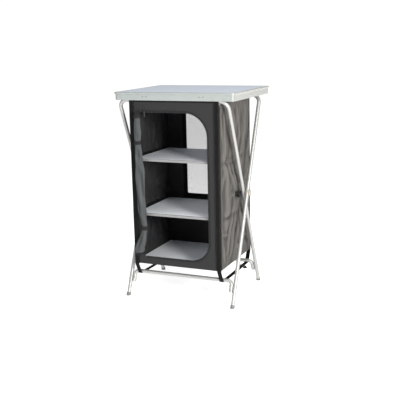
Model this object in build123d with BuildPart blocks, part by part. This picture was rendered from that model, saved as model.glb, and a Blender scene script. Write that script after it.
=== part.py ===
from build123d import *
import os
from math import acos, atan2, cos, hypot, radians, sin

# Camping kitchen cupboard: a fabric cupboard with three shelves hangs between two bent tube
# frames that cross at a pivot on each side, and a removable aluminium tabletop lies on their tops.
# Millimetres. +X is to the right as seen from the front, the front faces -Y, +Z is up.
# The origin is on the floor, in the middle of the whole object.

os.makedirs("parts", exist_ok=True)

# Tabletop
height = 1040
top_width = 634
top_depth = 526
top_corner = 18
rim_height = 39
lip = 13
lip_height = 10
lip_overhang = 5
ledge = 17.5
ledge_sheet = 2.5
sheet_metal = 3
hem = 4
hem_sheet = 1.5
bearer_x = 149
bearer_width = 36
bearer_height = 17
bearer_sheet = 2
rivet_gap = 20
rivet_drop = 21
rivet_radius = 2
rivet_head = 3.6
table_overhang = 10

# Folding frames
tube_radius = 9.5
tube_wall = 1.5
tube_gap = 1
tube_bend = 42
bar_bend = 22
frame_width = 572
pivot_height = 530
foot_spread = 228
cross_tube_height = 1000
bar_height = 121
bar_tail = 56
foot_radius = 11
foot_length = 15
foot_bevel = 0.5
bolt_radius = 4

# Cupboard
body_width = 470
fabric = 1.4
sleeve_gap = 0.4
webbing = 22
floor_height = 178
board = 9
board_width = 458
board_depth = 392
lower_shelf_top = 434
upper_shelf_top = 710
base_board_top = 189
door_left, door_right = -180, 178
door_bottom, door_top = 213, 948
door_hinge_radius = 14
door_bottom_radius = 100
door_top_radius = 120
window_half_width = 124
window_bottom, window_top = 462, 952

# The lean of each frame and where its ends come
lean = atan2(foot_spread, pivot_height)
frame_reach = (cross_tube_height - pivot_height) / cos(lean)
cross_tube_y = frame_reach * sin(lean)
leg_reach = pivot_height / cos(lean)
bar_reach = (pivot_height - bar_height) / cos(lean)
bar_y = bar_reach * sin(lean)
sleeve_radius = tube_radius + sleeve_gap + fabric
panel_y = cross_tube_y + sleeve_radius

# The pivot line lies a little in front of the middle, because the tabletop reaches further back
table_front = panel_y + table_overhang
foot_front = foot_spread + foot_radius / cos(lean)
pivot_y = (foot_front - (top_depth - table_front)) / 2
front_y = pivot_y - table_front
table_centre_y = front_y + top_depth / 2
frame_shift = tube_radius + tube_gap / 2
inner_tube_x = frame_width / 2 - frame_shift
outer_tube_x = frame_width / 2 + frame_shift


def finish(part, name):
    """Labels a finished piece and writes it as one file."""
    part.label = name
    export_step(part, f"parts/{name}.step")
    print(f"{name}: {len(part.solids())} solid(s), {part.volume / 1000:.1f} cm3")


def oval(centre_x, centre_y, half_x, half_y):
    """Draws a closed oval of four arcs in the current line."""
    diagonal = cos(radians(45))
    ends = [(half_x, 0), (0, half_y), (-half_x, 0), (0, -half_y), (half_x, 0)]
    middles = [(1, 1), (-1, 1), (-1, -1), (1, -1)]
    for start, middle, end in zip(ends, middles, ends[1:]):
        ThreePointArc(
            (centre_x + start[0], centre_y + start[1]),
            (centre_x + middle[0] * half_x * diagonal, centre_y + middle[1] * half_y * diagonal),
            (centre_x + end[0], centre_y + end[1]),
        )


def frame_plane(side):
    """The plane of one frame, origin at the pivot. Side 1 leans back at the top, -1 forward."""
    return Plane(origin=(0, pivot_y, pivot_height), x_dir=(1, 0, 0), z_dir=(0, -cos(lean), side * sin(lean)))


def across(x, y, z):
    """A plane square to X, whose local axes run along Y and Z."""
    return Plane(origin=(x, y, z), x_dir=(0, 1, 0), z_dir=(1, 0, 0))


# Tabletop rim: one profile of lip, board ledge and skirt runs along the four sides, and round
# pressed corners join them
skirt_inside = lip_overhang + sheet_metal
ledge_under = -lip_height - ledge_sheet
lip_rounding = 3
rim_outline = [
    (0, 0), (lip, 0), (lip, -lip_height), (ledge, -lip_height), (ledge, ledge_under),
    (skirt_inside, ledge_under), (skirt_inside, hem - rim_height),
    (skirt_inside + hem_sheet, hem - rim_height), (skirt_inside + hem_sheet, -rim_height),
    (lip_overhang, -rim_height), (lip_overhang, -lip_height), (0, -lip_height),
]
straight_x = top_width / 2 - top_corner
straight_y = top_depth / 2 - top_corner
rim_sides = {
    "rim_front": (Vector(-straight_x, -top_depth / 2), Vector(1, 0), 2 * straight_x),
    "rim_right": (Vector(top_width / 2, -straight_y), Vector(0, 1), 2 * straight_y),
    "rim_rear": (Vector(straight_x, top_depth / 2), Vector(-1, 0), 2 * straight_x),
    "rim_left": (Vector(-top_width / 2, straight_y), Vector(0, -1), 2 * straight_y),
}
rivet_places = [
    (side * bearer_x + offset, table_centre_y, height - rivet_drop)
    for side in (-1, 1) for offset in (-rivet_gap / 2, rivet_gap / 2)
]
corner_solids = []
for name, (start, direction, length) in rim_sides.items():
    inward = Vector(-direction.Y, direction.X)
    origin = Vector(start.X, start.Y + table_centre_y, height)
    with BuildPart() as rim:
        with BuildSketch(Plane(origin=origin, x_dir=inward, z_dir=direction)) as section:
            with BuildLine():
                Polyline(*rim_outline, close=True)
            make_face()
            fillet(section.vertices().group_by(Axis.X)[0], radius=lip_rounding)
        extrude(amount=length)
        with Locations(*rivet_places):
            Cylinder(rivet_radius + 0.1, top_depth + 2, rotation=(90, 0, 0), mode=Mode.SUBTRACT)
    finish(rim.part, name)
    far_end = origin + direction * length
    with BuildPart() as corner:
        with BuildSketch(Plane(origin=far_end, x_dir=inward, z_dir=direction)) as section:
            with BuildLine():
                Polyline(*rim_outline, close=True)
            make_face()
            fillet(section.vertices().group_by(Axis.X)[0], radius=lip_rounding)
        revolve(axis=Axis(far_end + inward * top_corner, (0, 0, 1)), revolution_arc=90)
    corner_solids += corner.part.solids()

with BuildPart() as rim_corners:
    add(corner_solids)
finish(rim_corners.part, "rim_corners")

board_gap = 0.4
with BuildPart() as table_board:
    with BuildSketch(Plane.XY.offset(height - lip_height)):
        with Locations((0, table_centre_y)):
            inset = lip + board_gap
            RectangleRounded(top_width - 2 * inset, top_depth - 2 * inset, top_corner - inset)
    extrude(amount=lip_height - 0.6)
    chamfer(table_board.faces().sort_by(Axis.Z)[-1].edges(), length=0.5)
finish(table_board.part, "table_board")

# Two channel bearers stiffen the board. Each is riveted to the front and rear skirts
ledge_bottom = height + ledge_under
bearer_bottom = height - lip_height - bearer_height
bearer_long = top_depth - 2 * ledge - 1
bearer_short = top_depth - 2 * skirt_inside - 0.2
for side, name in ((-1, "left_bearer"), (1, "right_bearer")):
    with BuildPart() as bearer:
        for length, roof in ((bearer_long, height - lip_height - 0.1), (bearer_short, ledge_bottom - 0.3)):
            depth = roof - bearer_bottom
            with BuildSketch(Plane.XZ.offset(-table_centre_y - length / 2)):
                with Locations((side * bearer_x, roof - depth / 2)):
                    Rectangle(bearer_width, depth)
            extrude(amount=length)
        with BuildSketch(Plane.XZ.offset(-table_centre_y - bearer_short / 2 + bearer_sheet)):
            hollow = ledge_bottom - 0.3 - bearer_sheet - bearer_bottom
            with Locations((side * bearer_x, bearer_bottom + hollow / 2)):
                Rectangle(bearer_width - 2 * bearer_sheet, hollow)
        extrude(amount=bearer_short - 2 * bearer_sheet, mode=Mode.SUBTRACT)
        with Locations(*rivet_places):
            Cylinder(rivet_radius + 0.1, top_depth, rotation=(90, 0, 0), mode=Mode.SUBTRACT)
    finish(bearer.part, name)

rivet_grip = sheet_metal + bearer_sheet + 0.6
rivet_dome = 1.6
with BuildPart() as rim_rivets:
    for edge in (-1, 1):
        skirt_y = table_centre_y + edge * (top_depth / 2 - lip_overhang)
        for x, _, z in rivet_places:
            with BuildSketch(Plane(origin=(x, skirt_y, z), x_dir=(1, 0, 0), z_dir=(0, edge, 0))):
                Circle(rivet_head)
            extrude(amount=rivet_dome, taper=35)
            with BuildSketch(Plane(origin=(x, skirt_y, z), x_dir=(1, 0, 0), z_dir=(0, -edge, 0))):
                Circle(rivet_radius)
            extrude(amount=rivet_grip)
finish(rim_rivets.part, "rim_rivets")

# Shallow pads under the bearers sit on the two sleeved cross tubes
pad_length = 34
pad_inward = 13
pad_outward = 8
pad_angle = radians(42)
pad_bore = sleeve_radius + 0.4
with BuildPart() as tube_pads:
    for side in (-1, 1):
        for edge in (-1, 1):
            axis_y = pivot_y + edge * cross_tube_y
            bottom = cross_tube_height + pad_bore * cos(pad_angle)
            near, far = axis_y - edge * pad_inward, axis_y + edge * pad_outward
            with BuildSketch(across(side * bearer_x - pad_length / 2, 0, 0)):
                with Locations(((near + far) / 2, (bottom + bearer_bottom) / 2)):
                    Rectangle(abs(far - near), bearer_bottom - bottom)
                with Locations((axis_y, cross_tube_height)):
                    Circle(pad_bore, mode=Mode.SUBTRACT)
            extrude(amount=pad_length)
finish(tube_pads.part, "tube_pads")

# Two U-shaped frames cross at the pivots. The one whose cross tube is at the rear stands on the
# front feet, and each is set to one side by half a tube, so that their legs pass beside each other.
# A frame is a straight cross tube and two legs bent over at the top, with a plug inside each joint
bar_rivet_radius = 2.4
bar_rivets = (26, 46)
bar_gap = 0.4
bar_offset = 2 * tube_radius + bar_gap
bar_head = 1.8
bar_bore = 4 * tube_radius + 2 * bar_head
shank = 4 * tube_radius + bar_gap
tube_end = 6
plug_grip = 20
plug_nose = 10
for side, frame_name, lower_name in ((1, "rear_top", "front"), (-1, "front_top", "rear")):
    plane = frame_plane(side)
    left = side * frame_shift - frame_width / 2
    right = side * frame_shift + frame_width / 2
    rivet_spots = [(x, -bar_reach - drop) for x in (left + bar_offset / 2, right - bar_offset / 2)
                   for drop in bar_rivets]
    joints = (left + tube_bend, right - tube_bend)
    with BuildPart(plane) as top_tube:
        with BuildSketch(Plane(origin=plane.from_local_coords((joints[0], frame_reach)), z_dir=(1, 0, 0))):
            Circle(tube_radius)
            Circle(tube_radius - tube_wall, mode=Mode.SUBTRACT)
        extrude(amount=joints[1] - joints[0])
    finish(top_tube.part, frame_name + "_tube")

    with BuildPart(plane) as legs:
        for x, turn in ((left, -90), (right, 90)):
            with BuildLine(plane) as route:
                straight = Line((x, tube_end - leg_reach), (x, frame_reach - tube_bend))
                JernArc(start=straight @ 1, tangent=straight % 1, radius=tube_bend, arc_size=turn)
            with BuildSketch(Plane(origin=route.line @ 0, z_dir=route.line % 0)):
                Circle(tube_radius)
                Circle(tube_radius - tube_wall, mode=Mode.SUBTRACT)
            sweep()
        with Locations((left, 0), (right, 0)):
            Cylinder(bolt_radius + 0.2, 3 * tube_radius, rotation=(0, 90, 0), mode=Mode.SUBTRACT)
        with Locations(*rivet_spots):
            Cylinder(bar_rivet_radius + 0.1, bar_bore, rotation=(0, 90, 0), mode=Mode.SUBTRACT)
    finish(legs.part, frame_name + "_legs")

    with BuildPart(plane) as plugs:
        for x, outward in zip(joints, (-1, 1)):
            for radius, length in ((tube_radius - tube_wall - 0.2, -plug_grip), (tube_radius - 3, plug_nose)):
                with Locations((x + outward * length / 2, frame_reach)):
                    Cylinder(radius, abs(length), rotation=(0, 90, 0))
    finish(plugs.part, frame_name + "_plugs")

    with BuildPart(plane) as crossbar:
        with BuildLine(plane) as route:
            FilletPolyline((left + bar_offset, -bar_reach - bar_tail), (left + bar_offset, -bar_reach),
                           (right - bar_offset, -bar_reach), (right - bar_offset, -bar_reach - bar_tail),
                           radius=bar_bend)
        with BuildSketch(Plane(origin=route.line @ 0, z_dir=route.line % 0)):
            Circle(tube_radius)
            Circle(tube_radius - tube_wall, mode=Mode.SUBTRACT)
        sweep()
        with Locations(*rivet_spots):
            Cylinder(bar_rivet_radius + 0.1, bar_bore, rotation=(0, 90, 0), mode=Mode.SUBTRACT)
    finish(crossbar.part, lower_name + "_crossbar")

    with BuildPart(plane) as bar_fixing:
        with Locations(*rivet_spots):
            Cylinder(bar_rivet_radius, shank, rotation=(0, 90, 0))
        heads = [(x + end * (shank + bar_head) / 2, s) for x, s in rivet_spots for end in (-1, 1)]
        with Locations(*heads):
            Cylinder(rivet_head, bar_head, rotation=(0, 90, 0))
    finish(bar_fixing.part, lower_name + "_bar_rivets")

    with BuildPart() as feet:
        for x in (left, right):
            foot = plane.shift_origin(plane.from_local_coords((x, -leg_reach - foot_radius)))
            with BuildSketch(Plane(origin=foot.origin, x_dir=(1, 0, 0), z_dir=plane.y_dir)):
                Circle(foot_radius)
            extrude(amount=foot_length + foot_radius)
            bore = plane.from_local_coords((x, tube_end - leg_reach))
            with BuildSketch(Plane(origin=bore, x_dir=(1, 0, 0), z_dir=plane.y_dir)):
                Circle(tube_radius + 0.1)
            extrude(amount=foot_length + foot_radius, mode=Mode.SUBTRACT)
        chamfer(feet.edges().filter_by(GeomType.CIRCLE).group_by(Axis.Z)[-1], length=foot_bevel)
        split(bisect_by=Plane.XY, keep=Keep.TOP)
    finish(feet.part, lower_name + "_feet")

# The pivot on each side: bolt, washer between the tubes, nut inside and a plastic cap outside
bolt_head_radius = 7
bolt_head = 4
bolt_outside = outer_tube_x + tube_radius + 0.2
bolt_inside = inner_tube_x - tube_radius - 9.5
with BuildPart() as pivot_bolts:
    for side in (-1, 1):
        with BuildSketch(across(side * bolt_outside, pivot_y, pivot_height)):
            Circle(bolt_head_radius)
        extrude(amount=side * bolt_head)
        with BuildSketch(across(side * bolt_outside, pivot_y, pivot_height)):
            Circle(bolt_radius)
        extrude(amount=-side * (bolt_outside - bolt_inside))
finish(pivot_bolts.part, "pivot_bolts")

washer = tube_gap - 0.3
with BuildPart() as pivot_washers:
    for side in (-1, 1):
        with BuildSketch(across(side * frame_width / 2 - washer / 2, pivot_y, pivot_height)):
            Circle(tube_radius + 2)
            Circle(bolt_radius + 0.1, mode=Mode.SUBTRACT)
        extrude(amount=washer)
finish(pivot_washers.part, "pivot_washers")

tie_x = inner_tube_x - tube_radius - 0.3
nut_size = 8.5
nut_start = tie_x - fabric - 0.3
with BuildPart() as pivot_nuts:
    for side in (-1, 1):
        with BuildSketch(across(side * nut_start, pivot_y, pivot_height)):
            RegularPolygon(radius=nut_size, side_count=6)
            Circle(bolt_radius + 0.05, mode=Mode.SUBTRACT)
        extrude(amount=-side * (nut_start - bolt_inside + 0.5))
finish(pivot_nuts.part, "pivot_nuts")

cap_width, cap_height, cap_depth = 22, 30, 8.5
with BuildPart() as pivot_caps:
    for side in (-1, 1):
        with BuildSketch(across(side * bolt_outside, pivot_y, pivot_height)):
            RectangleRounded(cap_width, cap_height, 6)
        extrude(amount=side * cap_depth, taper=8)
        with BuildSketch(across(side * bolt_outside, pivot_y, pivot_height)):
            Circle(bolt_head_radius + 0.2)
        extrude(amount=side * (bolt_head + 0.3), mode=Mode.SUBTRACT)
finish(pivot_caps.part, "pivot_caps")

# The cupboard hangs from two sleeves on the cross tubes
half_body = body_width / 2
straight_sleeve = frame_width / 2 - frame_shift - tube_bend - 2
for edge, name in ((-1, "front_sleeve"), (1, "rear_sleeve")):
    start = -half_body if edge == -1 else -straight_sleeve
    end = straight_sleeve if edge == -1 else half_body
    with BuildPart() as sleeve:
        with BuildSketch(across(start, pivot_y + edge * cross_tube_y, cross_tube_height)):
            Circle(sleeve_radius)
            Circle(sleeve_radius - fabric, mode=Mode.SUBTRACT)
        extrude(amount=end - start)
    finish(sleeve.part, name)
panel_top = cross_tube_height - 7
panel_front = pivot_y - panel_y
panel_rear = pivot_y + panel_y
panel_bottom = floor_height - 2
panel_middle = (panel_bottom + panel_top) / 2
panel_drop = panel_top - panel_bottom


def door_face(grow):
    """The D-shaped door opening as a sketch, moved outward by grow."""
    with BuildSketch() as face:
        with Locations(((door_left + door_right) / 2, (door_bottom + door_top) / 2)):
            Rectangle(door_right - door_left + 2 * grow, door_top - door_bottom + 2 * grow)
        fillet(face.vertices().group_by(Axis.X)[0], radius=door_hinge_radius + grow)
        fillet(face.vertices().group_by(Axis.X)[-1].sort_by(Axis.Y)[0], radius=door_bottom_radius + grow)
        fillet(face.vertices().group_by(Axis.Y)[-1].sort_by(Axis.X)[-1], radius=door_top_radius + grow)
    return face.sketch


with BuildPart() as front_panel:
    with BuildSketch(Plane.XZ.offset(-panel_front)):
        with Locations((0, panel_middle)):
            Rectangle(body_width, panel_drop)
        add(door_face(0), mode=Mode.SUBTRACT)
    extrude(amount=-fabric)
finish(front_panel.part, "front_panel")

# The zip tape follows the free edges of the door
tape = 5
tape_thickness = 1
with BuildPart() as door_zip:
    with BuildSketch(Plane.XZ.offset(-panel_front)):
        add(door_face(tape))
        add(door_face(-tape), mode=Mode.SUBTRACT)
        with Locations((door_left, (door_bottom + door_top) / 2)):
            Rectangle(4 * tape, door_top, mode=Mode.SUBTRACT)
    extrude(amount=tape_thickness)
finish(door_zip.part, "door_zip")

# The slider stands at the hinge end of the zip, with its pull hanging from a pin between two lugs
slider_x = door_left + 30
slider_back = panel_front - tape_thickness - 0.3
slider_size = (12, 4, 9)
pull_axis_y = slider_back - slider_size[1] - 2.4
pull_pin = 0.95
with BuildPart() as zip_slider:
    with Locations((slider_x, slider_back - slider_size[1] / 2, door_top)):
        Box(*slider_size)
    fillet(zip_slider.edges().filter_by(Axis.Y), radius=2)
    for side in (-1, 1):
        with Locations((slider_x + side * 2.9, slider_back - slider_size[1] - 2.1, door_top)):
            Box(1.4, 4.2, 6)
    with Locations((slider_x, pull_axis_y, door_top)):
        Cylinder(pull_pin + 0.15, slider_size[0], rotation=(0, 90, 0), mode=Mode.SUBTRACT)
finish(zip_slider.part, "zip_slider")

pull_length = 28
with BuildPart() as zip_pull:
    with BuildSketch(Plane.XZ.offset(-pull_axis_y - 0.8)):
        with Locations((slider_x, door_top - pull_length / 2 - 2)):
            RectangleRounded(7, pull_length - 4, 2.4)
        with Locations((slider_x, door_top - pull_length + 6)):
            Circle(1.6, mode=Mode.SUBTRACT)
    extrude(amount=1.6)
    with Locations((slider_x, pull_axis_y, door_top - 1.8)):
        Box(4, 2.2, 6.4)
    with Locations((slider_x, pull_axis_y, door_top)):
        Cylinder(pull_pin, 7.2, rotation=(0, 90, 0))
finish(zip_pull.part, "zip_pull")

# The open door is rolled up along its hinge edge and held by three ties. Each row is a height,
# the middle of the roll there, and its half width and half thickness
roll_stand_off = 2.6
roll_rows = [
    (228, -198, 24, 15), (262, -196, 27, 16), (310, -180, 22, 15), (356, -167, 16.5, 13),
    (380, -167, 16.5, 13), (450, -174, 24, 16), (538, -180, 26.5, 17), (620, -183, 25.5, 17),
    (700, -184, 23, 16), (786, -188, 17.5, 13.5), (806, -188, 17.5, 13.5), (860, -187, 19, 15),
    (914, -188, 15.5, 12), (934, -188, 15.5, 12), (946, -190, 15, 12),
]
with BuildPart() as door_roll:
    for level, middle, half_x, half_y in roll_rows:
        with BuildSketch(Plane.XY.offset(level)):
            with BuildLine():
                oval(middle, panel_front - roll_stand_off - half_y, half_x, half_y)
            make_face()
    loft(ruled=True)
finish(door_roll.part, "door_roll")

with BuildPart() as door_ties:
    for below, above in ((3, 4), (9, 10), (12, 13)):
        level, middle, half_x, half_y = roll_rows[below]
        tie_width = roll_rows[above][0] - level - 4
        with BuildSketch(Plane.XY.offset(level + 2)):
            for grow, mode in ((1.8, Mode.ADD), (0.4, Mode.SUBTRACT)):
                with BuildLine():
                    oval(middle, panel_front - roll_stand_off - half_y, half_x + grow, half_y + grow)
                make_face(mode=mode)
        extrude(amount=tie_width)
finish(door_ties.part, "door_ties")

# Back panel with a gauze window behind a webbing border
with BuildPart() as back_panel:
    with BuildSketch(Plane.XZ.offset(-panel_rear)):
        with Locations((0, panel_middle)):
            Rectangle(body_width, panel_drop)
        with Locations((0, (window_bottom + window_top) / 2)):
            Rectangle(2 * window_half_width, window_top - window_bottom, mode=Mode.SUBTRACT)
    extrude(amount=fabric)
finish(back_panel.part, "back_panel")

gauze = 0.6
gauze_margin = 9
gauze_front = panel_rear - fabric - 0.1 - gauze
with BuildPart() as window_mesh:
    with BuildSketch(Plane.XZ.offset(-gauze_front)):
        with Locations((0, (window_bottom + window_top) / 2)):
            Rectangle(2 * (window_half_width + gauze_margin), window_top - window_bottom + 2 * gauze_margin)
    extrude(amount=-gauze)
finish(window_mesh.part, "window_mesh")

with BuildPart() as window_border:
    with BuildSketch(Plane.XZ.offset(-gauze_front + 0.1)):
        with Locations((0, (window_bottom + window_top) / 2)):
            Rectangle(2 * (window_half_width + webbing), window_top - window_bottom + 2 * webbing)
            Rectangle(2 * window_half_width, window_top - window_bottom, mode=Mode.SUBTRACT)
    extrude(amount=fabric)
finish(window_border.part, "window_border")

# Side panels. Each is drawn outward at its middle by the tie at the pivot, so the cloth stands
# in two hollow sweeps that fade towards the top and the floor
tie_y = pivot_y - 7
tie_pull = 9
side_rows = [(floor_height, 1), (350, 3.5), (pivot_height - 6, tie_pull), (760, 3), (cross_tube_height + 8, 1)]
side_front = panel_front + fabric + 0.1
side_rear = panel_rear - fabric - 0.1
notch_depth = cross_tube_y - sleeve_radius - 1
for side, name in ((-1, "left_panel"), (1, "right_panel")):
    with BuildPart() as side_panel:
        for level, pull in side_rows:
            with BuildSketch(Plane.XY.offset(level)):
                with BuildLine():
                    for skin in (half_body, half_body - fabric):
                        ridge = (side * (skin + pull), tie_y)
                        for end_y in (side_front, side_rear):
                            hollow = (side * (skin + pull / 2 - 0.3 * pull), (end_y + tie_y) / 2)
                            ThreePointArc((side * skin, end_y), hollow, ridge)
                    for end_y in (side_front, side_rear):
                        Line((side * half_body, end_y), (side * (half_body - fabric), end_y))
                make_face()
        loft(ruled=True)
        with BuildSketch(across(side * half_body - 20, pivot_y, 0)):
            with Locations(*[(end * (notch_depth + 20), cross_tube_height + 10) for end in (-1, 1)]):
                Rectangle(40, 2 * sleeve_radius + 22)
        extrude(amount=40, mode=Mode.SUBTRACT)
    finish(side_panel.part, name)

with BuildPart() as floor_panel:
    with BuildSketch(Plane.XY.offset(floor_height)):
        with Locations((0, pivot_y)):
            Rectangle(body_width - 2 * fabric - 0.4, 2 * (panel_y - fabric - 0.2))
    extrude(amount=fabric)
finish(floor_panel.part, "floor_panel")

# A webbing patch on each side panel folds out to a tongue that the pivot bolt passes through
patch_width, patch_height = 42, 26
patch_x = half_body + tie_pull + 0.2
tongue_width = 16
tongue_x = tie_x - fabric / 2
tongue_low = pivot_height - 11
with BuildPart() as side_ties:
    for side in (-1, 1):
        with Locations((side * (patch_x + fabric / 2), tie_y, pivot_height - 6)):
            Box(fabric, patch_width, patch_height)
        with BuildSketch(Plane.XZ.offset(-pivot_y - tongue_width / 2)):
            with BuildLine():
                FilletPolyline((side * (patch_x + fabric / 2), pivot_height - 6),
                               (side * (patch_x + fabric / 2), tongue_low - 6),
                               (side * tongue_x, tongue_low),
                               (side * tongue_x, pivot_height + 13), radius=2.5)
            trace(line_width=fabric)
        extrude(amount=tongue_width)
        with Locations((side * tongue_x, pivot_y, pivot_height)):
            Cylinder(bolt_radius + 0.1, 6, rotation=(0, 90, 0), mode=Mode.SUBTRACT)
finish(side_ties.part, "side_ties")

# One webbing strap each side runs down the front corner, under both crossbars and up the rear
# corner. It carries the cupboard and stops the frames from spreading
strap_x = 225
strap_top = height - rim_height - 1
strap_leaves = floor_height - 3
strap_reach = panel_y + 0.2
strap_wrap = tube_radius + 0.4


def sling(out):
    """Draws one face of the strap, out from the cloth and bars that it lies on."""
    reach, wrap = strap_reach + out, strap_wrap + out
    away, above = reach - bar_y, strap_leaves - bar_height
    touch = atan2(above, away) - acos(wrap / hypot(away, above))
    for end in (-1, 1):
        def on_bar(angle):
            return (end * (bar_y + wrap * cos(angle)), bar_height + wrap * sin(angle))
        Line((end * reach, strap_top), (end * reach, strap_leaves))
        Line((end * reach, strap_leaves), on_bar(touch))
        ThreePointArc(on_bar(touch), on_bar((touch - radians(90)) / 2), on_bar(-radians(90)))
    Line((-bar_y, bar_height - wrap), (bar_y, bar_height - wrap))


for side, name in ((-1, "left_strap"), (1, "right_strap")):
    with BuildPart() as strap:
        with BuildSketch(across(side * strap_x - webbing / 2, pivot_y, 0)):
            with BuildLine():
                sling(0)
                sling(fabric)
                for end in (-1, 1):
                    Line((end * strap_reach, strap_top), (end * (strap_reach + fabric), strap_top))
            make_face()
        extrude(amount=webbing)
    finish(strap.part, name)

# A ladder buckle on each bottom run, with the loose end of the webbing hanging behind it
buckle_y = pivot_y + 105
buckle_length, buckle_height = 24, 7
run_z = bar_height - strap_wrap - fabric / 2
tail_start = buckle_y + buckle_length / 2 + 1
tail_low = run_z - 26
for side, buckle_name, tail_name in ((-1, "left_buckle", "left_strap_tail"), (1, "right_buckle", "right_strap_tail")):
    with BuildPart() as buckle:
        with Locations((side * strap_x, buckle_y, run_z)):
            Box(webbing + 8, buckle_length, buckle_height)
        fillet(buckle.edges().filter_by(Axis.Z), radius=3)
        with Locations((side * strap_x, buckle_y, run_z)):
            Box(webbing + 0.8, 2 * buckle_length, fabric + 1.2, mode=Mode.SUBTRACT)
        with Locations(*[(side * strap_x, buckle_y + end * 6, run_z) for end in (-1, 1)]):
            Box(webbing + 0.8, 5.5, 2 * buckle_height, mode=Mode.SUBTRACT)
    finish(buckle.part, buckle_name)
    with BuildPart() as tail:
        with BuildSketch(across(side * strap_x - webbing / 2, 0, 0)):
            with BuildLine():
                for drop in (0, fabric):
                    ThreePointArc((tail_start, run_z - 2.2 - drop), (tail_start + 22, run_z - 8 - drop),
                                  (tail_start + 38, tail_low - drop))
                Line((tail_start, run_z - 2.2), (tail_start, run_z - 2.2 - fabric))
                Line((tail_start + 38, tail_low), (tail_start + 38, tail_low - fabric))
            make_face()
        extrude(amount=webbing)
    finish(tail.part, tail_name)

# Two shelves with gripped front edges, and a board on the floor of the cupboard
trim = 1.2
trim_grip = 9
for name, top in (("base_board", base_board_top), ("lower_shelf", lower_shelf_top), ("upper_shelf", upper_shelf_top)):
    edge_gap = 0 if name == "base_board" else trim + 0.1
    with BuildPart() as shelf:
        with BuildSketch(Plane.XY.offset(top - board)):
            with Locations((0, pivot_y + edge_gap / 2)):
                Rectangle(board_width, board_depth - edge_gap)
        extrude(amount=board)
        chamfer(shelf.faces().sort_by(Axis.Z)[-1].edges(), length=0.4)
    finish(shelf.part, name)
    if edge_gap:
        with BuildPart() as shelf_trim:
            with BuildSketch(across(-board_width / 2, pivot_y - board_depth / 2, top - board / 2)):
                with Locations((trim_grip / 2, 0)):
                    Rectangle(trim_grip, board + 2 * trim + 0.2)
                with Locations((trim + trim_grip / 2, 0)):
                    Rectangle(trim_grip, board + 0.2, mode=Mode.SUBTRACT)
            extrude(amount=board_width)
        finish(shelf_trim.part, name + "_trim")

# Webbing ledges sewn inside the side panels carry the shelf ends
ledge_length = board_depth - 2 * trim_grip
ledge_out = half_body - fabric - 0.3
for side, name in ((-1, "left_shelf_ledges"), (1, "right_shelf_ledges")):
    with BuildPart() as ledges:
        for top in (lower_shelf_top, upper_shelf_top):
            under = top - board - 0.3
            with BuildSketch(Plane.XZ.offset(-pivot_y - ledge_length / 2)):
                with BuildLine():
                    Polyline((side * ledge_out, under - fabric), (side * ledge_out, under + webbing),
                             (side * (ledge_out - fabric), under + webbing), (side * (ledge_out - fabric), under),
                             (side * (ledge_out - webbing), under), (side * (ledge_out - webbing), under - fabric),
                             close=True)
                make_face()
            extrude(amount=ledge_length)
    finish(ledges.part, name)
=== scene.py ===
"""Camping kitchen cupboard: the visible model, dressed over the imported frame.

Sizes are in millimetres in the classes and become metres when a mesh is made.
"""
import logging
import math
from collections.abc import Mapping, Sequence
from dataclasses import dataclass, field
from enum import Enum
from typing import Any

import bpy
import numpy as np
from mathutils import Matrix, Vector


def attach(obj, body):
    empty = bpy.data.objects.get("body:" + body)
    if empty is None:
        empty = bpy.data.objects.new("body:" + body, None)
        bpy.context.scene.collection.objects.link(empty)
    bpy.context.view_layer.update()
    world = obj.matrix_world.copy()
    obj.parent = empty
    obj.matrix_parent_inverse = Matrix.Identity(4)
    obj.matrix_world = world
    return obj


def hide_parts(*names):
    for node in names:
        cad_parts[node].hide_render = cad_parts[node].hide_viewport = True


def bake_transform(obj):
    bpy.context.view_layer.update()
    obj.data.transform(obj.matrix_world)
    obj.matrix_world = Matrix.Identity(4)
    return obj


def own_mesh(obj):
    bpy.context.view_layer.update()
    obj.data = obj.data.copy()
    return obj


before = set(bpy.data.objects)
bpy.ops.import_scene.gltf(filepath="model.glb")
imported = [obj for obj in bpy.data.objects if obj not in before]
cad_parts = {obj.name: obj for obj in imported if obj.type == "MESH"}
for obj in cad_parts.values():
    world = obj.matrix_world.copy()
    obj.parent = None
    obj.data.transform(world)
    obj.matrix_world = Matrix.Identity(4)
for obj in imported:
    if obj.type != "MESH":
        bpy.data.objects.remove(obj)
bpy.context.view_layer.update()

logging.basicConfig(level=logging.INFO, format="%(name)s: %(message)s")
LOG = logging.getLogger("cupboard")
MM = 0.001
CLOTH_MAP = "cloth"
# Point attribute that carries painted highlights on fold crests and painted shade in fold creases of the
# cloth.
FOLD_SHADING_MAP = "worn"
SHARP_EDGE = 42.0
X_AXIS, Y_AXIS, Z_AXIS = np.eye(3)
Colour = tuple[float, float, float]
TUBE_GREY: Colour = (0.41, 0.412, 0.40)


class Grain(Enum):
    """The way that a metal was drawn or rolled, as the direction of its fine lines."""

    ACROSS = (1.0, 0.0, 0.0)
    DEEP = (0.0, 1.0, 0.0)
    REAR_TOP_LEG = (0.0, 0.3952, 0.9186)
    FRONT_TOP_LEG = (0.0, -0.3952, 0.9186)


class Side(Enum):
    """The two sides of the cupboard, by the sign of X."""

    LEFT = -1
    RIGHT = 1

    @property
    def word(self) -> str:
        """The side's name in lower case."""
        return self.name.lower()


# Shader maths


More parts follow.
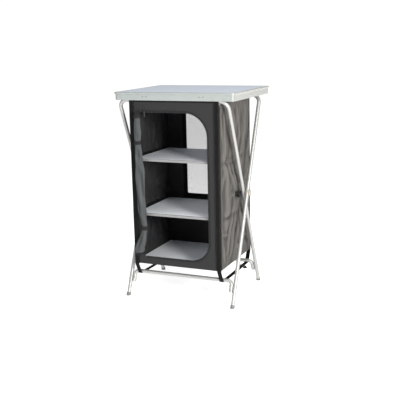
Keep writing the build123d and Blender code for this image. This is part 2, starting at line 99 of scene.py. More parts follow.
class Wire:
    """A socket in a node tree, which takes part in sums."""

    def __init__(self, nodes: "Nodes", socket: bpy.types.NodeSocket | None) -> None:
        """Keeps the tree and the socket."""
        self.nodes = nodes
        self.socket = socket

    def _sum(self, operation: str, first: "Wire | float", second: "Wire | float" = 0.0) -> "Wire":
        """Adds one Math node.

        Args:
            operation: The node's operation.
            first: Its first value.
            second: Its second value.

        Returns:
            The node's result.
        """
        return self.nodes.add("ShaderNodeMath", {"operation": operation}, {0: first, 1: second})

    def __add__(self, other: "Wire | float") -> "Wire":
        """self + other."""
        return self._sum("ADD", self, other)

    __radd__ = __add__

    def __sub__(self, other: "Wire | float") -> "Wire":
        """self - other."""
        return self._sum("SUBTRACT", self, other)

    def __rsub__(self, other: float) -> "Wire":
        """other - self."""
        return self._sum("SUBTRACT", other, self)

    def __mul__(self, other: "Wire | float") -> "Wire":
        """self * other."""
        return self._sum("MULTIPLY", self, other)

    __rmul__ = __mul__

    def __truediv__(self, other: "Wire | float") -> "Wire":
        """self / other."""
        return self._sum("DIVIDE", self, other)

    def __abs__(self) -> "Wire":
        """The size of self without its sign."""
        return self._sum("ABSOLUTE", self)

    def wave(self) -> "Wire":
        """The sine of self."""
        return self._sum("SINE", self)

    def larger(self, other: "Wire") -> "Wire":
        """The larger of the two."""
        return self._sum("MAXIMUM", self, other)

    def step(self, low: float, high: float) -> "Wire":
        """0 below low, 1 above high, smooth between.

        Args:
            low: Where the step starts.
            high: Where it ends.

        Returns:
            The smooth step.
        """
        return self.nodes.add(
            "ShaderNodeMapRange", {"interpolation_type": "SMOOTHSTEP"}, {0: self, 1: low, 2: high})


class Nodes:
    """A node tree, with the one method that adds to it."""

    def __init__(self, tree: bpy.types.NodeTree) -> None:
        """Takes over a tree and empties it."""
        self.tree = tree
        self.tree.nodes.clear()

    def add(self, kind: str, settings: Mapping[str, Any] | None = None,
            sockets: Mapping[Any, Any] | None = None, output: Any = 0) -> Wire:
        """Adds any node: its settings first, then the values or links of its sockets.

        Args:
            kind: The node's type.
            settings: Its settings.
            sockets: A value or a wire for each socket, by name or number.
            output: The socket to hand back, by name or number.

        Returns:
            A wire from that output, without a socket where the node has none.
        """
        node = self.tree.nodes.new(kind)
        for key, value in (settings or {}).items():
            setattr(node, key, value)
        for key, value in (sockets or {}).items():
            self.feed(node.inputs[key], value)
        return Wire(self, node.outputs[output] if node.outputs else None)

    def feed(self, socket: bpy.types.NodeSocket, value: Any) -> None:
        """Links a wire to a socket, or sets the socket to a value.

        Args:
            socket: The socket to feed.
            value: A wire, a number or a colour.
        """
        if isinstance(value, Wire):
            self.tree.links.new(value.socket, socket)
        elif isinstance(value, tuple) and len(value) == 3 and socket.type == "RGBA":
            socket.default_value = (*value, 1.0)
        else:
            socket.default_value = value


class Paint(Nodes):
    """One material's node tree, with the few ways that the finishes add to it."""

    def __init__(self, name: str) -> None:
        """Starts a material with a plain shader.

        Args:
            name: The material's name.
        """
        self.material = bpy.data.materials.new(name)
        self.material.use_nodes = True
        super().__init__(self.material.node_tree)
        surface = self.add("ShaderNodeBsdfPrincipled")
        self.shader = surface.socket.node
        self.add("ShaderNodeOutputMaterial", sockets={"Surface": surface})

    def set(self, **values: Any) -> None:
        """Feeds the shader's sockets, named with _ for a space.

        Args:
            values: A value or a wire for each named socket.
        """
        for name, value in values.items():
            self.feed(self.shader.inputs[name.replace("_", " ")], value)

    def place(self) -> Wire:
        """The point on the object, in metres."""
        return self.add("ShaderNodeTexCoord", output="Object")

    def cloth_place(self) -> Wire:
        """The point on the flat cloth, in metres."""
        return self.add("ShaderNodeUVMap", {"uv_map": CLOTH_MAP})

    def parts(self, vector: Wire) -> tuple[Wire, Wire, Wire]:
        """Splits a vector into its three numbers.

        Args:
            vector: The vector.

        Returns:
            Its x, y and z.
        """
        x = self.add("ShaderNodeSeparateXYZ", sockets={0: vector})
        outputs = x.socket.node.outputs
        return x, Wire(self, outputs[1]), Wire(self, outputs[2])

    def stretch(self, vector: Wire, scale: tuple[float, float, float]) -> Wire:
        """Multiplies a vector by three numbers.

        Args:
            vector: The vector.
            scale: The three numbers.

        Returns:
            The product.
        """
        return self.add("ShaderNodeVectorMath", {"operation": "MULTIPLY"}, {0: vector, 1: scale})

    def along(self, direction: Sequence[float], across: float, length: float) -> Wire:
        """Coordinates for lines that run along one direction.

        Args:
            direction: The unit direction of the lines.
            across: Scale square to the lines.
            length: Scale along them.

        Returns:
            The stretched coordinates.
        """
        place = self.place()
        run = Vector(direction)
        first = run.cross(Vector((0, 0.3, 1)) if abs(run.z) < 0.5 else Vector((1, 0, 0))).normalized()
        axes = ((first, across), (run.cross(first), across), (run, length))
        numbers = [self.add("ShaderNodeVectorMath", {"operation": "DOT_PRODUCT"},
                            {0: place, 1: tuple(axis * scale)}, "Value") for axis, scale in axes]
        return self.add("ShaderNodeCombineXYZ", sockets=dict(enumerate(numbers)))

    def noise(self, vector: Wire, scale: float, detail: float = 3.0, roughness: float = 0.5) -> Wire:
        """Soft noise from 0 to 1.

        Args:
            vector: The coordinates.
            scale: Cells in a metre of those coordinates.
            detail: Octaves.
            roughness: Strength of the finer octaves.

        Returns:
            The noise.
        """
        return self.add("ShaderNodeTexNoise", sockets={
            "Vector": vector, "Scale": scale, "Detail": detail, "Roughness": roughness})

    def blend(self, mask: Wire | float, low: Any, high: Any) -> Wire:
        """Mixes two colours.

        Args:
            mask: 0 for low, 1 for high.
            low: The first colour.
            high: The second colour.

        Returns:
            The mixed colour.
        """
        return self.add("ShaderNodeMix", {"data_type": "RGBA"}, {0: mask, 6: low, 7: high}, 2)

    def relief(self, height: Wire, depth: float, strength: float = 1.0) -> None:
        """Raises the surface by a height map.

        Args:
            height: The map, from 0 to 1.
            depth: Metres from 0 to 1.
            strength: Share of the effect.
        """
        self.set(Normal=self.add(
            "ShaderNodeBump", sockets={"Strength": strength, "Distance": depth, "Height": height},
            output="Normal"))


def shade(colour: Colour, by: float) -> Colour:
    """Makes a colour lighter or darker.

    Args:
        colour: The colour.
        by: The factor.

    Returns:
        The new colour.
    """
    return (min(colour[0] * by, 1.0), min(colour[1] * by, 1.0), min(colour[2] * by, 1.0))


# Finishes


@dataclass(frozen=True)
class Finish:
    """A finish has a name and a colour, and knows how to paint itself once."""

    name: str
    colour: Colour

    def lay(self, paint: Paint) -> None:
        """Feeds the shader. Each finish has its own way."""
        paint.set(Base_Color=self.colour)

    def material(self) -> bpy.types.Material:
        """The finish's material, made on first use.

        Returns:
            The material.
        """
        found = bpy.data.materials.get("finish_" + self.name)
        if found is None:
            paint = Paint("finish_" + self.name)
            self.lay(paint)
            found = paint.material
        return found


@dataclass(frozen=True)
class SatinMetal(Finish):
    """Drawn or rolled metal with fine lines, faint blotches and small scuffs."""

    grain: Grain = Grain.ACROSS
    roughness: float = 0.34
    lines: float = 0.10
    metallic: float = 0.9

    def lay(self, paint: Paint) -> None:
        """Lines along the grain, blotches in the anodising and rubbed spots.

        Args:
            paint: The material to paint.
        """
        fine = paint.noise(paint.along(self.grain.value, 2600.0, 14.0), 1.0, 4.0, 0.6)
        blotch = paint.noise(paint.place(), 26.0, 4.0)
        scuff = paint.noise(paint.along(self.grain.value, 420.0, 60.0), 1.0, 5.0, 0.7).step(0.62, 0.72)
        tone = paint.blend(fine, shade(self.colour, 1.0 - self.lines), shade(self.colour, 1.0 + self.lines))
        tone = paint.blend(blotch.step(0.35, 0.75) * 0.35, tone, shade(self.colour, 0.88))
        paint.set(
            Base_Color=paint.blend(scuff * 0.25, tone, shade(self.colour, 1.12)),
            Metallic=self.metallic,
            Roughness=self.roughness + fine * 0.08 + blotch * 0.10 - scuff * 0.06,
        )
        paint.relief(fine * 0.7 + scuff * 0.3, 0.00003, 0.5)


@dataclass(frozen=True)
class RimMetal(SatinMetal):
    """The pressed table rim, with the dark butt joints beside its corners."""

    joint_x: float = 299.0
    middle_y: float = 0.0
    joint_y: float = 245.0
    gap: tuple[float, float] = (0.0004, 0.0011)

    def lay(self, paint: Paint) -> None:
        """The metal, with a thin shadow line at each joint.

        Args:
            paint: The material to paint.
        """
        super().lay(paint)
        x, y, _ = paint.parts(paint.place())
        if self.grain is Grain.ACROSS:
            away = abs(abs(x) - self.joint_x * MM)
        else:
            away = abs(abs(y - self.middle_y * MM) - self.joint_y * MM)
        joint = 1 - away.step(*self.gap)
        metal = Wire(paint, paint.shader.inputs["Base Color"].links[0].from_socket)
        paint.set(Base_Color=paint.blend(joint, metal, (0.05, 0.05, 0.05)),
                  Metallic=(1 - joint) * self.metallic)


@dataclass(frozen=True)
class Laminate(Finish):
    """A pale laminate with a fine pebbled skin, soft clouding and a few rub marks."""

    roughness: float = 0.36
    grain: float = 0.05

    def lay(self, paint: Paint) -> None:
        """Pebbles in the skin, long faint fibres in the colour.

        Args:
            paint: The material to paint.
        """
        place = paint.place()
        fibre = paint.noise(paint.stretch(place, (30.0, 900.0, 900.0)), 1.0, 4.0, 0.6)
        cloud = paint.noise(place, 7.0, 3.0)
        pebble = paint.noise(place, 1500.0, 2.0)
        rub = paint.noise(paint.stretch(place, (60.0, 14.0, 30.0)), 1.0, 6.0, 0.7).step(0.60, 0.75)
        tone = paint.blend(fibre, shade(self.colour, 1.0 - self.grain), shade(self.colour, 1.0 + self.grain))
        tone = paint.blend(cloud.step(0.3, 0.8) * 0.3, tone, shade(self.colour, 0.93))
        paint.set(Base_Color=paint.blend(rub * 0.12, tone, shade(self.colour, 0.8)),
                  Roughness=self.roughness + pebble * 0.10 + rub * 0.12,
                  Coat_Weight=0.15, Coat_Roughness=0.25)
        paint.relief(pebble * 0.8 + fibre * 0.2, 0.00006, 0.6)


@dataclass(frozen=True)
class Moulded(Finish):
    """Moulded plastic or rubber with a fine spark texture and paler rubbed places."""

    roughness: float = 0.5
    wear: float = 0.25

    def lay(self, paint: Paint) -> None:
        """Spark texture, clouding and wear.

        Args:
            paint: The material to paint.
        """
        place = paint.place()
        spark = paint.noise(place, 2400.0, 3.0)
        cloud = paint.noise(place, 60.0, 3.0)
        rubbed = paint.noise(place, 190.0, 6.0, 0.7).step(0.56, 0.72)
        tone = paint.blend(cloud, shade(self.colour, 0.88), shade(self.colour, 1.12))
        paint.set(Base_Color=paint.blend(rubbed * self.wear, tone, shade(self.colour, 1.7)),
                  Roughness=self.roughness + spark * 0.14 - rubbed * 0.08)
        paint.relief(spark, 0.00008, 0.6)


@dataclass(frozen=True)
class Cloth(Finish):
    """Plain-woven polyester: threads over and under, uneven yarn and dust, with painted highlights on fold
    crests and painted shade in fold creases.
    """

    thread: float = 1.1
    heather: float = 0.16
    gloss: float = 0.12
    roughness: float = 0.86

    def lay(self, paint: Paint) -> None:
        """The weave and its yarns, from the flat cloth's own coordinates.

        Args:
            paint: The material to paint.
        """
        flat = paint.cloth_place()
        u, v, _ = paint.parts(flat)
        turn = 2 * math.pi / (self.thread * MM)
        weave = (u * turn).wave() * (v * turn).wave() * 0.5 + 0.5
        weft = paint.noise(paint.stretch(flat, (45.0, 1900.0, 1.0)), 1.0, 3.0, 0.6)
        warp = paint.noise(paint.stretch(flat, (1900.0, 45.0, 1.0)), 1.0, 3.0, 0.6)
        yarn = weft * 0.5 + warp * 0.5
        cloud = paint.noise(paint.place(), 9.0, 4.0)
        dust = paint.noise(paint.place(), 38.0, 6.0, 0.65).step(0.52, 0.80)
        tone = paint.blend(yarn.step(0.36, 0.64), shade(self.colour, 1 - self.heather),
                           shade(self.colour, 1 + self.heather))
        tone = paint.blend(weave * 0.25, tone, shade(self.colour, 0.72))
        tone = paint.blend(cloud.step(0.3, 0.75) * 0.35, tone, shade(self.colour, 0.86))
        # Painted highlight on fold crests (lighter) and painted shade in fold creases (darker), read from the
        # point attribute.
        worn = paint.add("ShaderNodeAttribute", {"attribute_name": FOLD_SHADING_MAP}, output="Fac")
        tone = paint.blend(worn.step(0.1, 1.0) * 0.32, tone, shade(self.colour, 1.5))
        tone = paint.blend((0 - worn).step(0.08, 0.9) * 0.6, tone, shade(self.colour, 0.35))
        paint.set(Base_Color=paint.blend(dust * 0.14, tone, shade(self.colour, 1.45)),
                  Roughness=self.roughness + yarn * 0.10 - weave * 0.06,
                  Specular_IOR_Level=self.gloss)
        paint.relief(weave * 0.6 + yarn * 0.4, 0.00022, 0.7)


@dataclass(frozen=True)
class Coating(Finish):
    """The rubbery coating inside the cloth: the weave shows through, with dull streaks."""

    thread: float = 1.1

    def lay(self, paint: Paint) -> None:
        """A smooth dark skin over a faint weave.

        Args:
            paint: The material to paint.
        """
        flat = paint.cloth_place()
        u, v, _ = paint.parts(flat)
        turn = 2 * math.pi / (self.thread * MM)
        weave = (u * turn).wave() * (v * turn).wave() * 0.5 + 0.5
        streak = paint.noise(paint.stretch(flat, (60.0, 9.0, 1.0)), 1.0, 4.0)
        paint.set(Base_Color=paint.blend(streak, shade(self.colour, 0.8), shade(self.colour, 1.3)),
                  Roughness=0.6 + streak * 0.2 - weave * 0.08, Specular_IOR_Level=0.2)
        paint.relief(weave * 0.5 + streak * 0.5, 0.00012, 0.5)


@dataclass(frozen=True)
class Tape(Finish):
    """Woven webbing: ribs across it, a firm edge on both sides and fuzzy yarn."""

    rib: float = 2.2
    width: float = 22.0

    def lay(self, paint: Paint) -> None:
        """Ribs along the length, doubled herringbone and darker edges.

        Args:
            paint: The material to paint.
        """
        flat = paint.cloth_place()
        u, v, _ = paint.parts(flat)
        turn = 2 * math.pi / (self.rib * MM)
        lean = abs((u * (2 * math.pi / (self.width * MM / 4))).wave()) * 2.4
        rib = (v * turn + lean).wave() * 0.5 + 0.5
        edge = abs(u / (self.width * MM / 2)).step(0.82, 0.95)
        yarn = paint.noise(paint.stretch(flat, (2600.0, 500.0, 1.0)), 1.0, 3.0, 0.6)
        fade = paint.noise(paint.place(), 22.0, 4.0).step(0.4, 0.8)
        tone = paint.blend(rib, shade(self.colour, 0.55), shade(self.colour, 1.25))
        tone = paint.blend(edge * 0.6, tone, shade(self.colour, 0.6))
        tone = paint.blend(yarn * 0.35, tone, shade(self.colour, 1.5))
        paint.set(Base_Color=paint.blend(fade * 0.3, tone, shade(self.colour, 1.5)),
                  Roughness=0.75 + yarn * 0.18 - rib * 0.08, Specular_IOR_Level=0.12)
        paint.relief(rib * 0.65 + yarn * 0.15 + edge * 0.2, 0.0004, 0.8)


@dataclass(frozen=True)
class Gauze(Finish):
    """Fine net: pale threads two ways with open holes between them."""

    pitch: float = 1.5
    cover: float = 0.40

    def lay(self, paint: Paint) -> None:
        """Threads as a see-through mask, with a slight lift at each crossing.

        Args:
            paint: The material to paint.
        """
        u, v, _ = paint.parts(paint.cloth_place())
        turn = math.pi / (self.pitch * MM)
        open_part = math.sin(math.pi / 2 * (1 - self.cover))
        first = (1 - abs((u * turn).wave())).step(open_part - 0.35, open_part + 0.1)
        second = (1 - abs((v * turn).wave())).step(open_part - 0.35, open_part + 0.1)
        thread = first.larger(second)
        cloud = paint.noise(paint.place(), 30.0, 3.0)
        paint.set(Base_Color=paint.blend(cloud, shade(self.colour, 0.92), shade(self.colour, 1.05)),
                  Alpha=thread * 0.45 + 0.32, Roughness=0.7)
        paint.relief(first * 0.5 + second * 0.5, 0.0002, 0.5)


@dataclass(frozen=True)
class Thread(Finish):
    """Sewing thread with a two-ply twist."""

    def lay(self, paint: Paint) -> None:
        """Twist lines in colour and height.

        Args:
            paint: The material to paint.
        """
        twist = paint.noise(paint.place(), 1800.0, 2.0)
        paint.set(Base_Color=paint.blend(twist, shade(self.colour, 0.7), shade(self.colour, 1.3)),
                  Roughness=0.6 + twist * 0.2)
        paint.relief(twist, 0.0001, 0.6)


@dataclass(frozen=True)
class StudioFloor(Finish):
    """A plain pale floor with a barely uneven tone, which glows a little."""

    glow: float = 0.68

    def lay(self, paint: Paint) -> None:
        """Soft clouding only.

        Args:
            paint: The material to paint.
        """
        cloud = paint.noise(paint.place(), 1.5, 2.0)
        paint.set(Base_Color=paint.blend(cloud, shade(self.colour, 0.985), shade(self.colour, 1.0)),
                  Roughness=0.85, Emission_Color=(1.0, 1.0, 1.0), Emission_Strength=self.glow)


@dataclass(frozen=True)
class Palette:
    """Every finish of the cupboard."""

    top_board: Finish = Laminate("top_board", (0.55, 0.592, 0.665), 0.34, 0.03)
    # Paler than the boards' own tone: painted light against the shade inside the cupboard.
    shelf_board: Finish = Laminate("shelf_board", (0.80, 0.825, 0.86), 0.45, 0.06)
    # One aluminium rim in three tones: the long front and rear faces darker and the corners darker still as
    # painted shade, the short end faces lighter as painted light.
    rim_long: Finish = RimMetal("rim_long", (0.36, 0.385, 0.37), Grain.ACROSS, 0.42, 0.08, 0.6)
    rim_short: Finish = RimMetal("rim_short", (0.66, 0.665, 0.64), Grain.DEEP, 0.36, 0.08, 0.75, 299.0, 8.243)
    rim_corner: Finish = SatinMetal("rim_corner", (0.33, 0.345, 0.335), Grain.ACROSS, 0.58, 0.04, 0.35)
    bearer: Finish = SatinMetal("bearer", (0.52, 0.53, 0.53), Grain.DEEP, 0.42, 0.12, 0.85)
    bright: Finish = SatinMetal("bright", (0.72, 0.72, 0.72), Grain.ACROSS, 0.25, 0.05, 0.95)
    rivet: Finish = SatinMetal("rivet", (0.24, 0.23, 0.21), Grain.ACROSS, 0.45, 0.05, 0.6)
    zinc: Finish = SatinMetal("zinc", (0.46, 0.46, 0.48), Grain.DEEP, 0.38, 0.10, 0.95)
    cross_tube: Finish = SatinMetal("cross_tube", TUBE_GREY, Grain.ACROSS, 0.44, 0.07, 0.7)
    rear_top_leg: Finish = SatinMetal("rear_top_leg", TUBE_GREY, Grain.REAR_TOP_LEG, 0.44, 0.07, 0.7)
    front_top_leg: Finish = SatinMetal("front_top_leg", TUBE_GREY, Grain.FRONT_TOP_LEG, 0.44, 0.07, 0.7)
    foot: Finish = Moulded("foot", (0.15, 0.15, 0.15), 0.6, 0.2)
    pad: Finish = Moulded("pad", (0.03, 0.03, 0.03), 0.55, 0.15)
    black_plastic: Finish = Moulded("black_plastic", (0.012, 0.012, 0.012), 0.38, 0.12)
    beige_cap: Finish = Moulded("beige_cap", (0.36, 0.325, 0.275), 0.42, 0.15)
    edge_profile: Finish = Moulded("edge_profile", (0.215, 0.215, 0.215), 0.35, 0.1)
    zip_metal: Finish = Moulded("zip_metal", (0.010, 0.010, 0.011), 0.42, 0.12)
    side_cloth: Finish = Cloth("side_cloth", (0.096, 0.091, 0.0855))
    front_cloth: Finish = Cloth("front_cloth", (0.028, 0.028, 0.029))
    door_cloth: Finish = Cloth("door_cloth", (0.064, 0.069, 0.071))
    sleeve_cloth: Finish = Cloth("sleeve_cloth", (0.008, 0.008, 0.008))
    coating: Finish = Coating("coating", (0.017, 0.017, 0.018))
    webbing: Finish = Tape("webbing", (0.005, 0.005, 0.005))
    narrow_tape: Finish = Tape("narrow_tape", (0.016, 0.016, 0.017), 1.6, 16.0)
    gauze: Finish = Gauze("gauze", (0.165, 0.172, 0.195))
    thread: Finish = Thread("thread", (0.035, 0.035, 0.036))
    pale_thread: Finish = Thread("pale_thread", (0.085, 0.085, 0.085))
    floor: Finish = StudioFloor("floor", (0.93, 0.93, 0.93))


PALETTE = Palette()


# Meshes


def points_at(*parts: np.ndarray | float) -> np.ndarray:
    """Stacks coordinates, as numbers, lists or grids, into points."""
    return np.stack(np.broadcast_arrays(*parts), -1)


def unit(vectors: np.ndarray) -> np.ndarray:
    """Scales vectors to length 1 and leaves the empty ones."""
    return vectors / np.maximum(np.linalg.norm(vectors, axis=-1, keepdims=True), 1e-9)


def travelled(line: np.ndarray) -> np.ndarray:
    """The length along a line at each of its points."""
    return np.concatenate([[0], np.cumsum(np.linalg.norm(np.diff(line, axis=0), axis=1))])


def read_along(line: np.ndarray, gone: np.ndarray, steps: np.ndarray) -> np.ndarray:
    """The values of a line at certain lengths along it.

    Args:
        line: One value or more for each point, n by any.
        gone: The length at each point.
        steps: The lengths to read at.

    Returns:
        The values at the steps.
    """
    return np.stack([np.interp(steps, gone, column) for column in line.T], axis=1)


class Skin:
    """Gathers the faces of one piece, each with its finish and its place on the flat cloth."""

    def __init__(self) -> None:
        """Starts empty."""
        self.points: list[np.ndarray] = []
        self.flat: list[np.ndarray] = []
        self.faces: list[tuple[int, ...]] = []
        self.slots: list[int] = []
        self.worn: list[tuple[int, np.ndarray]] = []
        self.count = 0

    def put(self, points: np.ndarray, flat: np.ndarray) -> int:
        """Adds points.

        Args:
            points: Places in millimetres, n by 3.
            flat: The same points on the flat cloth, n by 2.

        Returns:
            The number of the first point.
        """
        start = self.count
        self.points.append(points.reshape(-1, 3))
        self.flat.append(flat.reshape(-1, 2))
        self.count += len(self.points[-1])
        return start

    def lattice(self, start: int, rows: int, columns: int, slot: int | np.ndarray,
                ring: bool = False, turned: bool = False) -> None:
        """Adds the faces of a grid of points.

        Args:
            start: Number of the grid's first point.
            rows: Rows of points.
            columns: Points in a row.
            slot: One finish number, or one for each face.
            ring: Whether each row closes on itself.
            turned: Whether the faces look the other way.
        """
        around = columns if ring else columns - 1
        marks = np.broadcast_to(np.asarray(slot), (rows - 1, around))
        for r in range(rows - 1):
            for c in range(around):
                a, b = start + r * columns + c, start + r * columns + (c + 1) % columns
                quad = (a, b, b + columns, a + columns)
                self.faces.append(quad[::-1] if turned else quad)
                self.slots.append(int(marks[r, c]))

    def sheet(self, outer: np.ndarray, flat: np.ndarray, thickness: float, outside: int | np.ndarray = 0,
              inside: int = 1, ring: bool = False, turned: bool = False,
              worn: np.ndarray | None = None) -> None:
        """Adds cloth as a closed thin shell below a grid of points.

        Args:
            outer: The outer face's points, rows by columns by 3.
            flat: The same grid on the flat cloth.
            thickness: The cloth's thickness.
            outside: Finish of the outer face.
            inside: Finish of the inner face and the cut edges.
            ring: Whether each row closes on itself.
            turned: Whether the outer face looks along the other normal.
            worn: Painted highlight on crests above 0 and painted shade in creases below 0, for each point of
                the outer face.
        """
        rows, columns = outer.shape[:2]
        if worn is not None:
            self.worn.append((self.count, np.clip(worn, -1, 1).ravel()))
        along = np.gradient(outer, axis=0)
        across = (np.roll(outer, -1, 1) - np.roll(outer, 1, 1)) if ring else np.gradient(outer, axis=1)
        normal = unit(np.cross(across, along)) * (-1 if turned else 1)
        first = self.put(outer, flat)
        second = self.put(outer - normal * thickness, flat)
        self.lattice(first, rows, columns, outside, ring, turned)
        self.lattice(second, rows, columns, inside, ring, not turned)
        grid = np.arange(rows * columns).reshape(rows, columns)
        edges = [grid[0], grid[-1, ::-1]]
        if ring:
            edges = [np.append(edge, edge[0]) for edge in edges]
        else:
            edges += [grid[:, -1], grid[::-1, 0]]
        for edge in edges:
            for a, b in zip(edge.tolist(), edge[1:].tolist()):
                quad = (second + a, second + b, first + b, first + a)
                self.faces.append(quad[::-1] if turned else quad)
                self.slots.append(inside)

    def strip(self, line: np.ndarray, side: np.ndarray, width: float, thickness: float,
              start: float = 0.0) -> None:
        """Adds webbing in the first finish: a flat band with rounded edges along a line.

        Args:
            line: The middle of the band, n by 3.
            side: The band's direction across, one or n by 3.
            width: Its width.
            thickness: Its thickness.
            start: Length along the webbing at the first point.
        """
        side = unit(np.broadcast_to(side, line.shape))
        up = unit(np.cross(side, np.gradient(line, axis=0)))
        half, lift, bevel = width / 2, thickness / 2, 0.35 * thickness
        section = [(-half, 0), (-half + bevel, lift), (-half / 2, lift * 1.06), (0, lift),
                   (half / 2, lift * 1.06), (half - bevel, lift), (half, 0),
                   (half - bevel, -lift), (0, -lift), (-half + bevel, -lift)]
        length = start + travelled(line)
        grid = np.stack([line + side * a + up * b for a, b in section], axis=1)
        flat = np.stack([points_at(a, length) for a, _ in section], axis=1)
        first, rows, columns = self.put(grid, flat), len(grid), len(section)
        self.lattice(first, rows, columns, 0, ring=True)
        self.faces += [tuple(range(first + columns - 1, first - 1, -1)),
                       tuple(range(first + (rows - 1) * columns, first + rows * columns))]
        self.slots += [0, 0]

    def stitches(self, line: np.ndarray, out: np.ndarray, slot: int, pitch: float = 4.6,
                 length: float = 3.2, size: float = 0.42, across: bool = False) -> None:
        """Adds a row of stitches, or of zip teeth set across the line.

        Args:
            line: Where the row runs, n by 3.
            out: Direction out of the cloth, one or n by 3.
            slot: Finish of the thread.
            pitch: From one stitch to the next.
            length: Length of a stitch.
            size: Half its thickness.
            across: Whether each stands across the line.
        """
        gone = travelled(line)
        steps = np.arange(pitch / 2, gone[-1], pitch)
        lift = unit(read_along(np.broadcast_to(out, line.shape), gone, steps))
        ahead = unit(read_along(line, gone, steps + 0.5) - read_along(line, gone, steps - 0.5))
        wide = np.cross(lift, ahead)
        run, span = (wide, ahead) if across else (ahead, wide)
        middle = read_along(line, gone, steps) + lift * size * 0.55
        low = middle - lift * size * 0.6
        corners = [low - run * length / 2, low + run * length / 2,
                   middle + span * size, middle + lift * size, middle - span * size, middle - lift * size]
        first = self.put(np.stack(corners, axis=1), np.zeros((len(steps), 6, 2)))
        for s in range(len(steps)):
            at = first + 6 * s
            for i in range(4):
                a, b = at + 2 + i, at + 2 + (i + 1) % 4
                self.faces += [(at, b, a), (at + 1, a, b)]
                self.slots += [slot, slot]

    def build(self, name: str, finishes: Sequence[Finish]) -> bpy.types.Object:
        """Makes the object, with crisp edges where its faces bend sharply.

        Args:
            name: The piece's name.
            finishes: Its finishes, in the order of the slot numbers.

        Returns:
            The object.
        """
        mesh = bpy.data.meshes.new(name)
        mesh.from_pydata(np.concatenate(self.points) * MM, [], self.faces)
        flat = np.concatenate(self.flat) * MM
        layer = mesh.uv_layers.new(name=CLOTH_MAP)
        corner = np.zeros(len(mesh.loops), np.int32)
        mesh.loops.foreach_get("vertex_index", corner)
        layer.data.foreach_set("uv", flat[corner].ravel())
        mesh.polygons.foreach_set("material_index", self.slots)
        for finish in finishes:
            mesh.materials.append(finish.material())
        # Keeps the painted fold highlights and painted shade as a point attribute for the cloth finish.
        if self.worn:
            values = np.zeros(self.count)
            for start, marks in self.worn:
                values[start:start + len(marks)] = marks
            mesh.attributes.new(FOLD_SHADING_MAP, "FLOAT", "POINT").data.foreach_set("value", values)
        mesh.validate()
        mesh.shade_smooth()
        mesh.set_sharp_from_angle(angle=math.radians(SHARP_EDGE))
        made = bpy.data.objects.new(name, mesh)
        bpy.context.scene.collection.objects.link(made)
        LOG.info("%s: %d points, %d faces", name, self.count, len(self.faces))
        return made


def dress(finish: Finish, *nodes: str) -> None:
    """Gives carried-over pieces of the frame their finish.

    Args:
        finish: The finish.
        nodes: The pieces' names.
    """
    for node in nodes:
        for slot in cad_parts[node].material_slots:
            slot.material = finish.material()
        LOG.info("%s: %s", node, finish.name)


def soften(field: np.ndarray, reach: int) -> np.ndarray:
    """Averages a grid of numbers with their neighbours.

    Args:
        field: The grid.
        reach: How many neighbours on each side.

    Returns:
        The softened grid.
    """
    for axis in (0, 1):
        padded = np.pad(field, [(reach, reach) if a == axis else (0, 0) for a in (0, 1)], mode="edge")
        shifted = [np.take(padded, range(i, i + field.shape[axis]), axis) for i in range(2 * reach + 1)]
        field = np.mean(shifted, axis=0)
    return field


def ripple(seed: int, *waves: np.ndarray) -> np.ndarray:
    """A smooth uneven surface from a few fixed sine waves, from about -1 to 1.

    Args:
        seed: Chooses the waves.
        waves: One or two coordinates, in wavelengths.

    Returns:
        The heights.
    """
    source = np.random.default_rng(seed)
    total = np.zeros(np.broadcast(*waves).shape)
    for octave in range(6):
        grow = 1.0 + 0.55 * octave
        angle = source.uniform(0, 2 * math.pi, len(waves) + 1)
        mix = [math.cos(angle[i]) if i == 0 else math.sin(angle[0]) for i in range(len(waves))]
        total += np.sin(2 * math.pi * grow * sum(m * w for m, w in zip(mix, waves)) + angle[-1]) / grow
    return total / 2.0


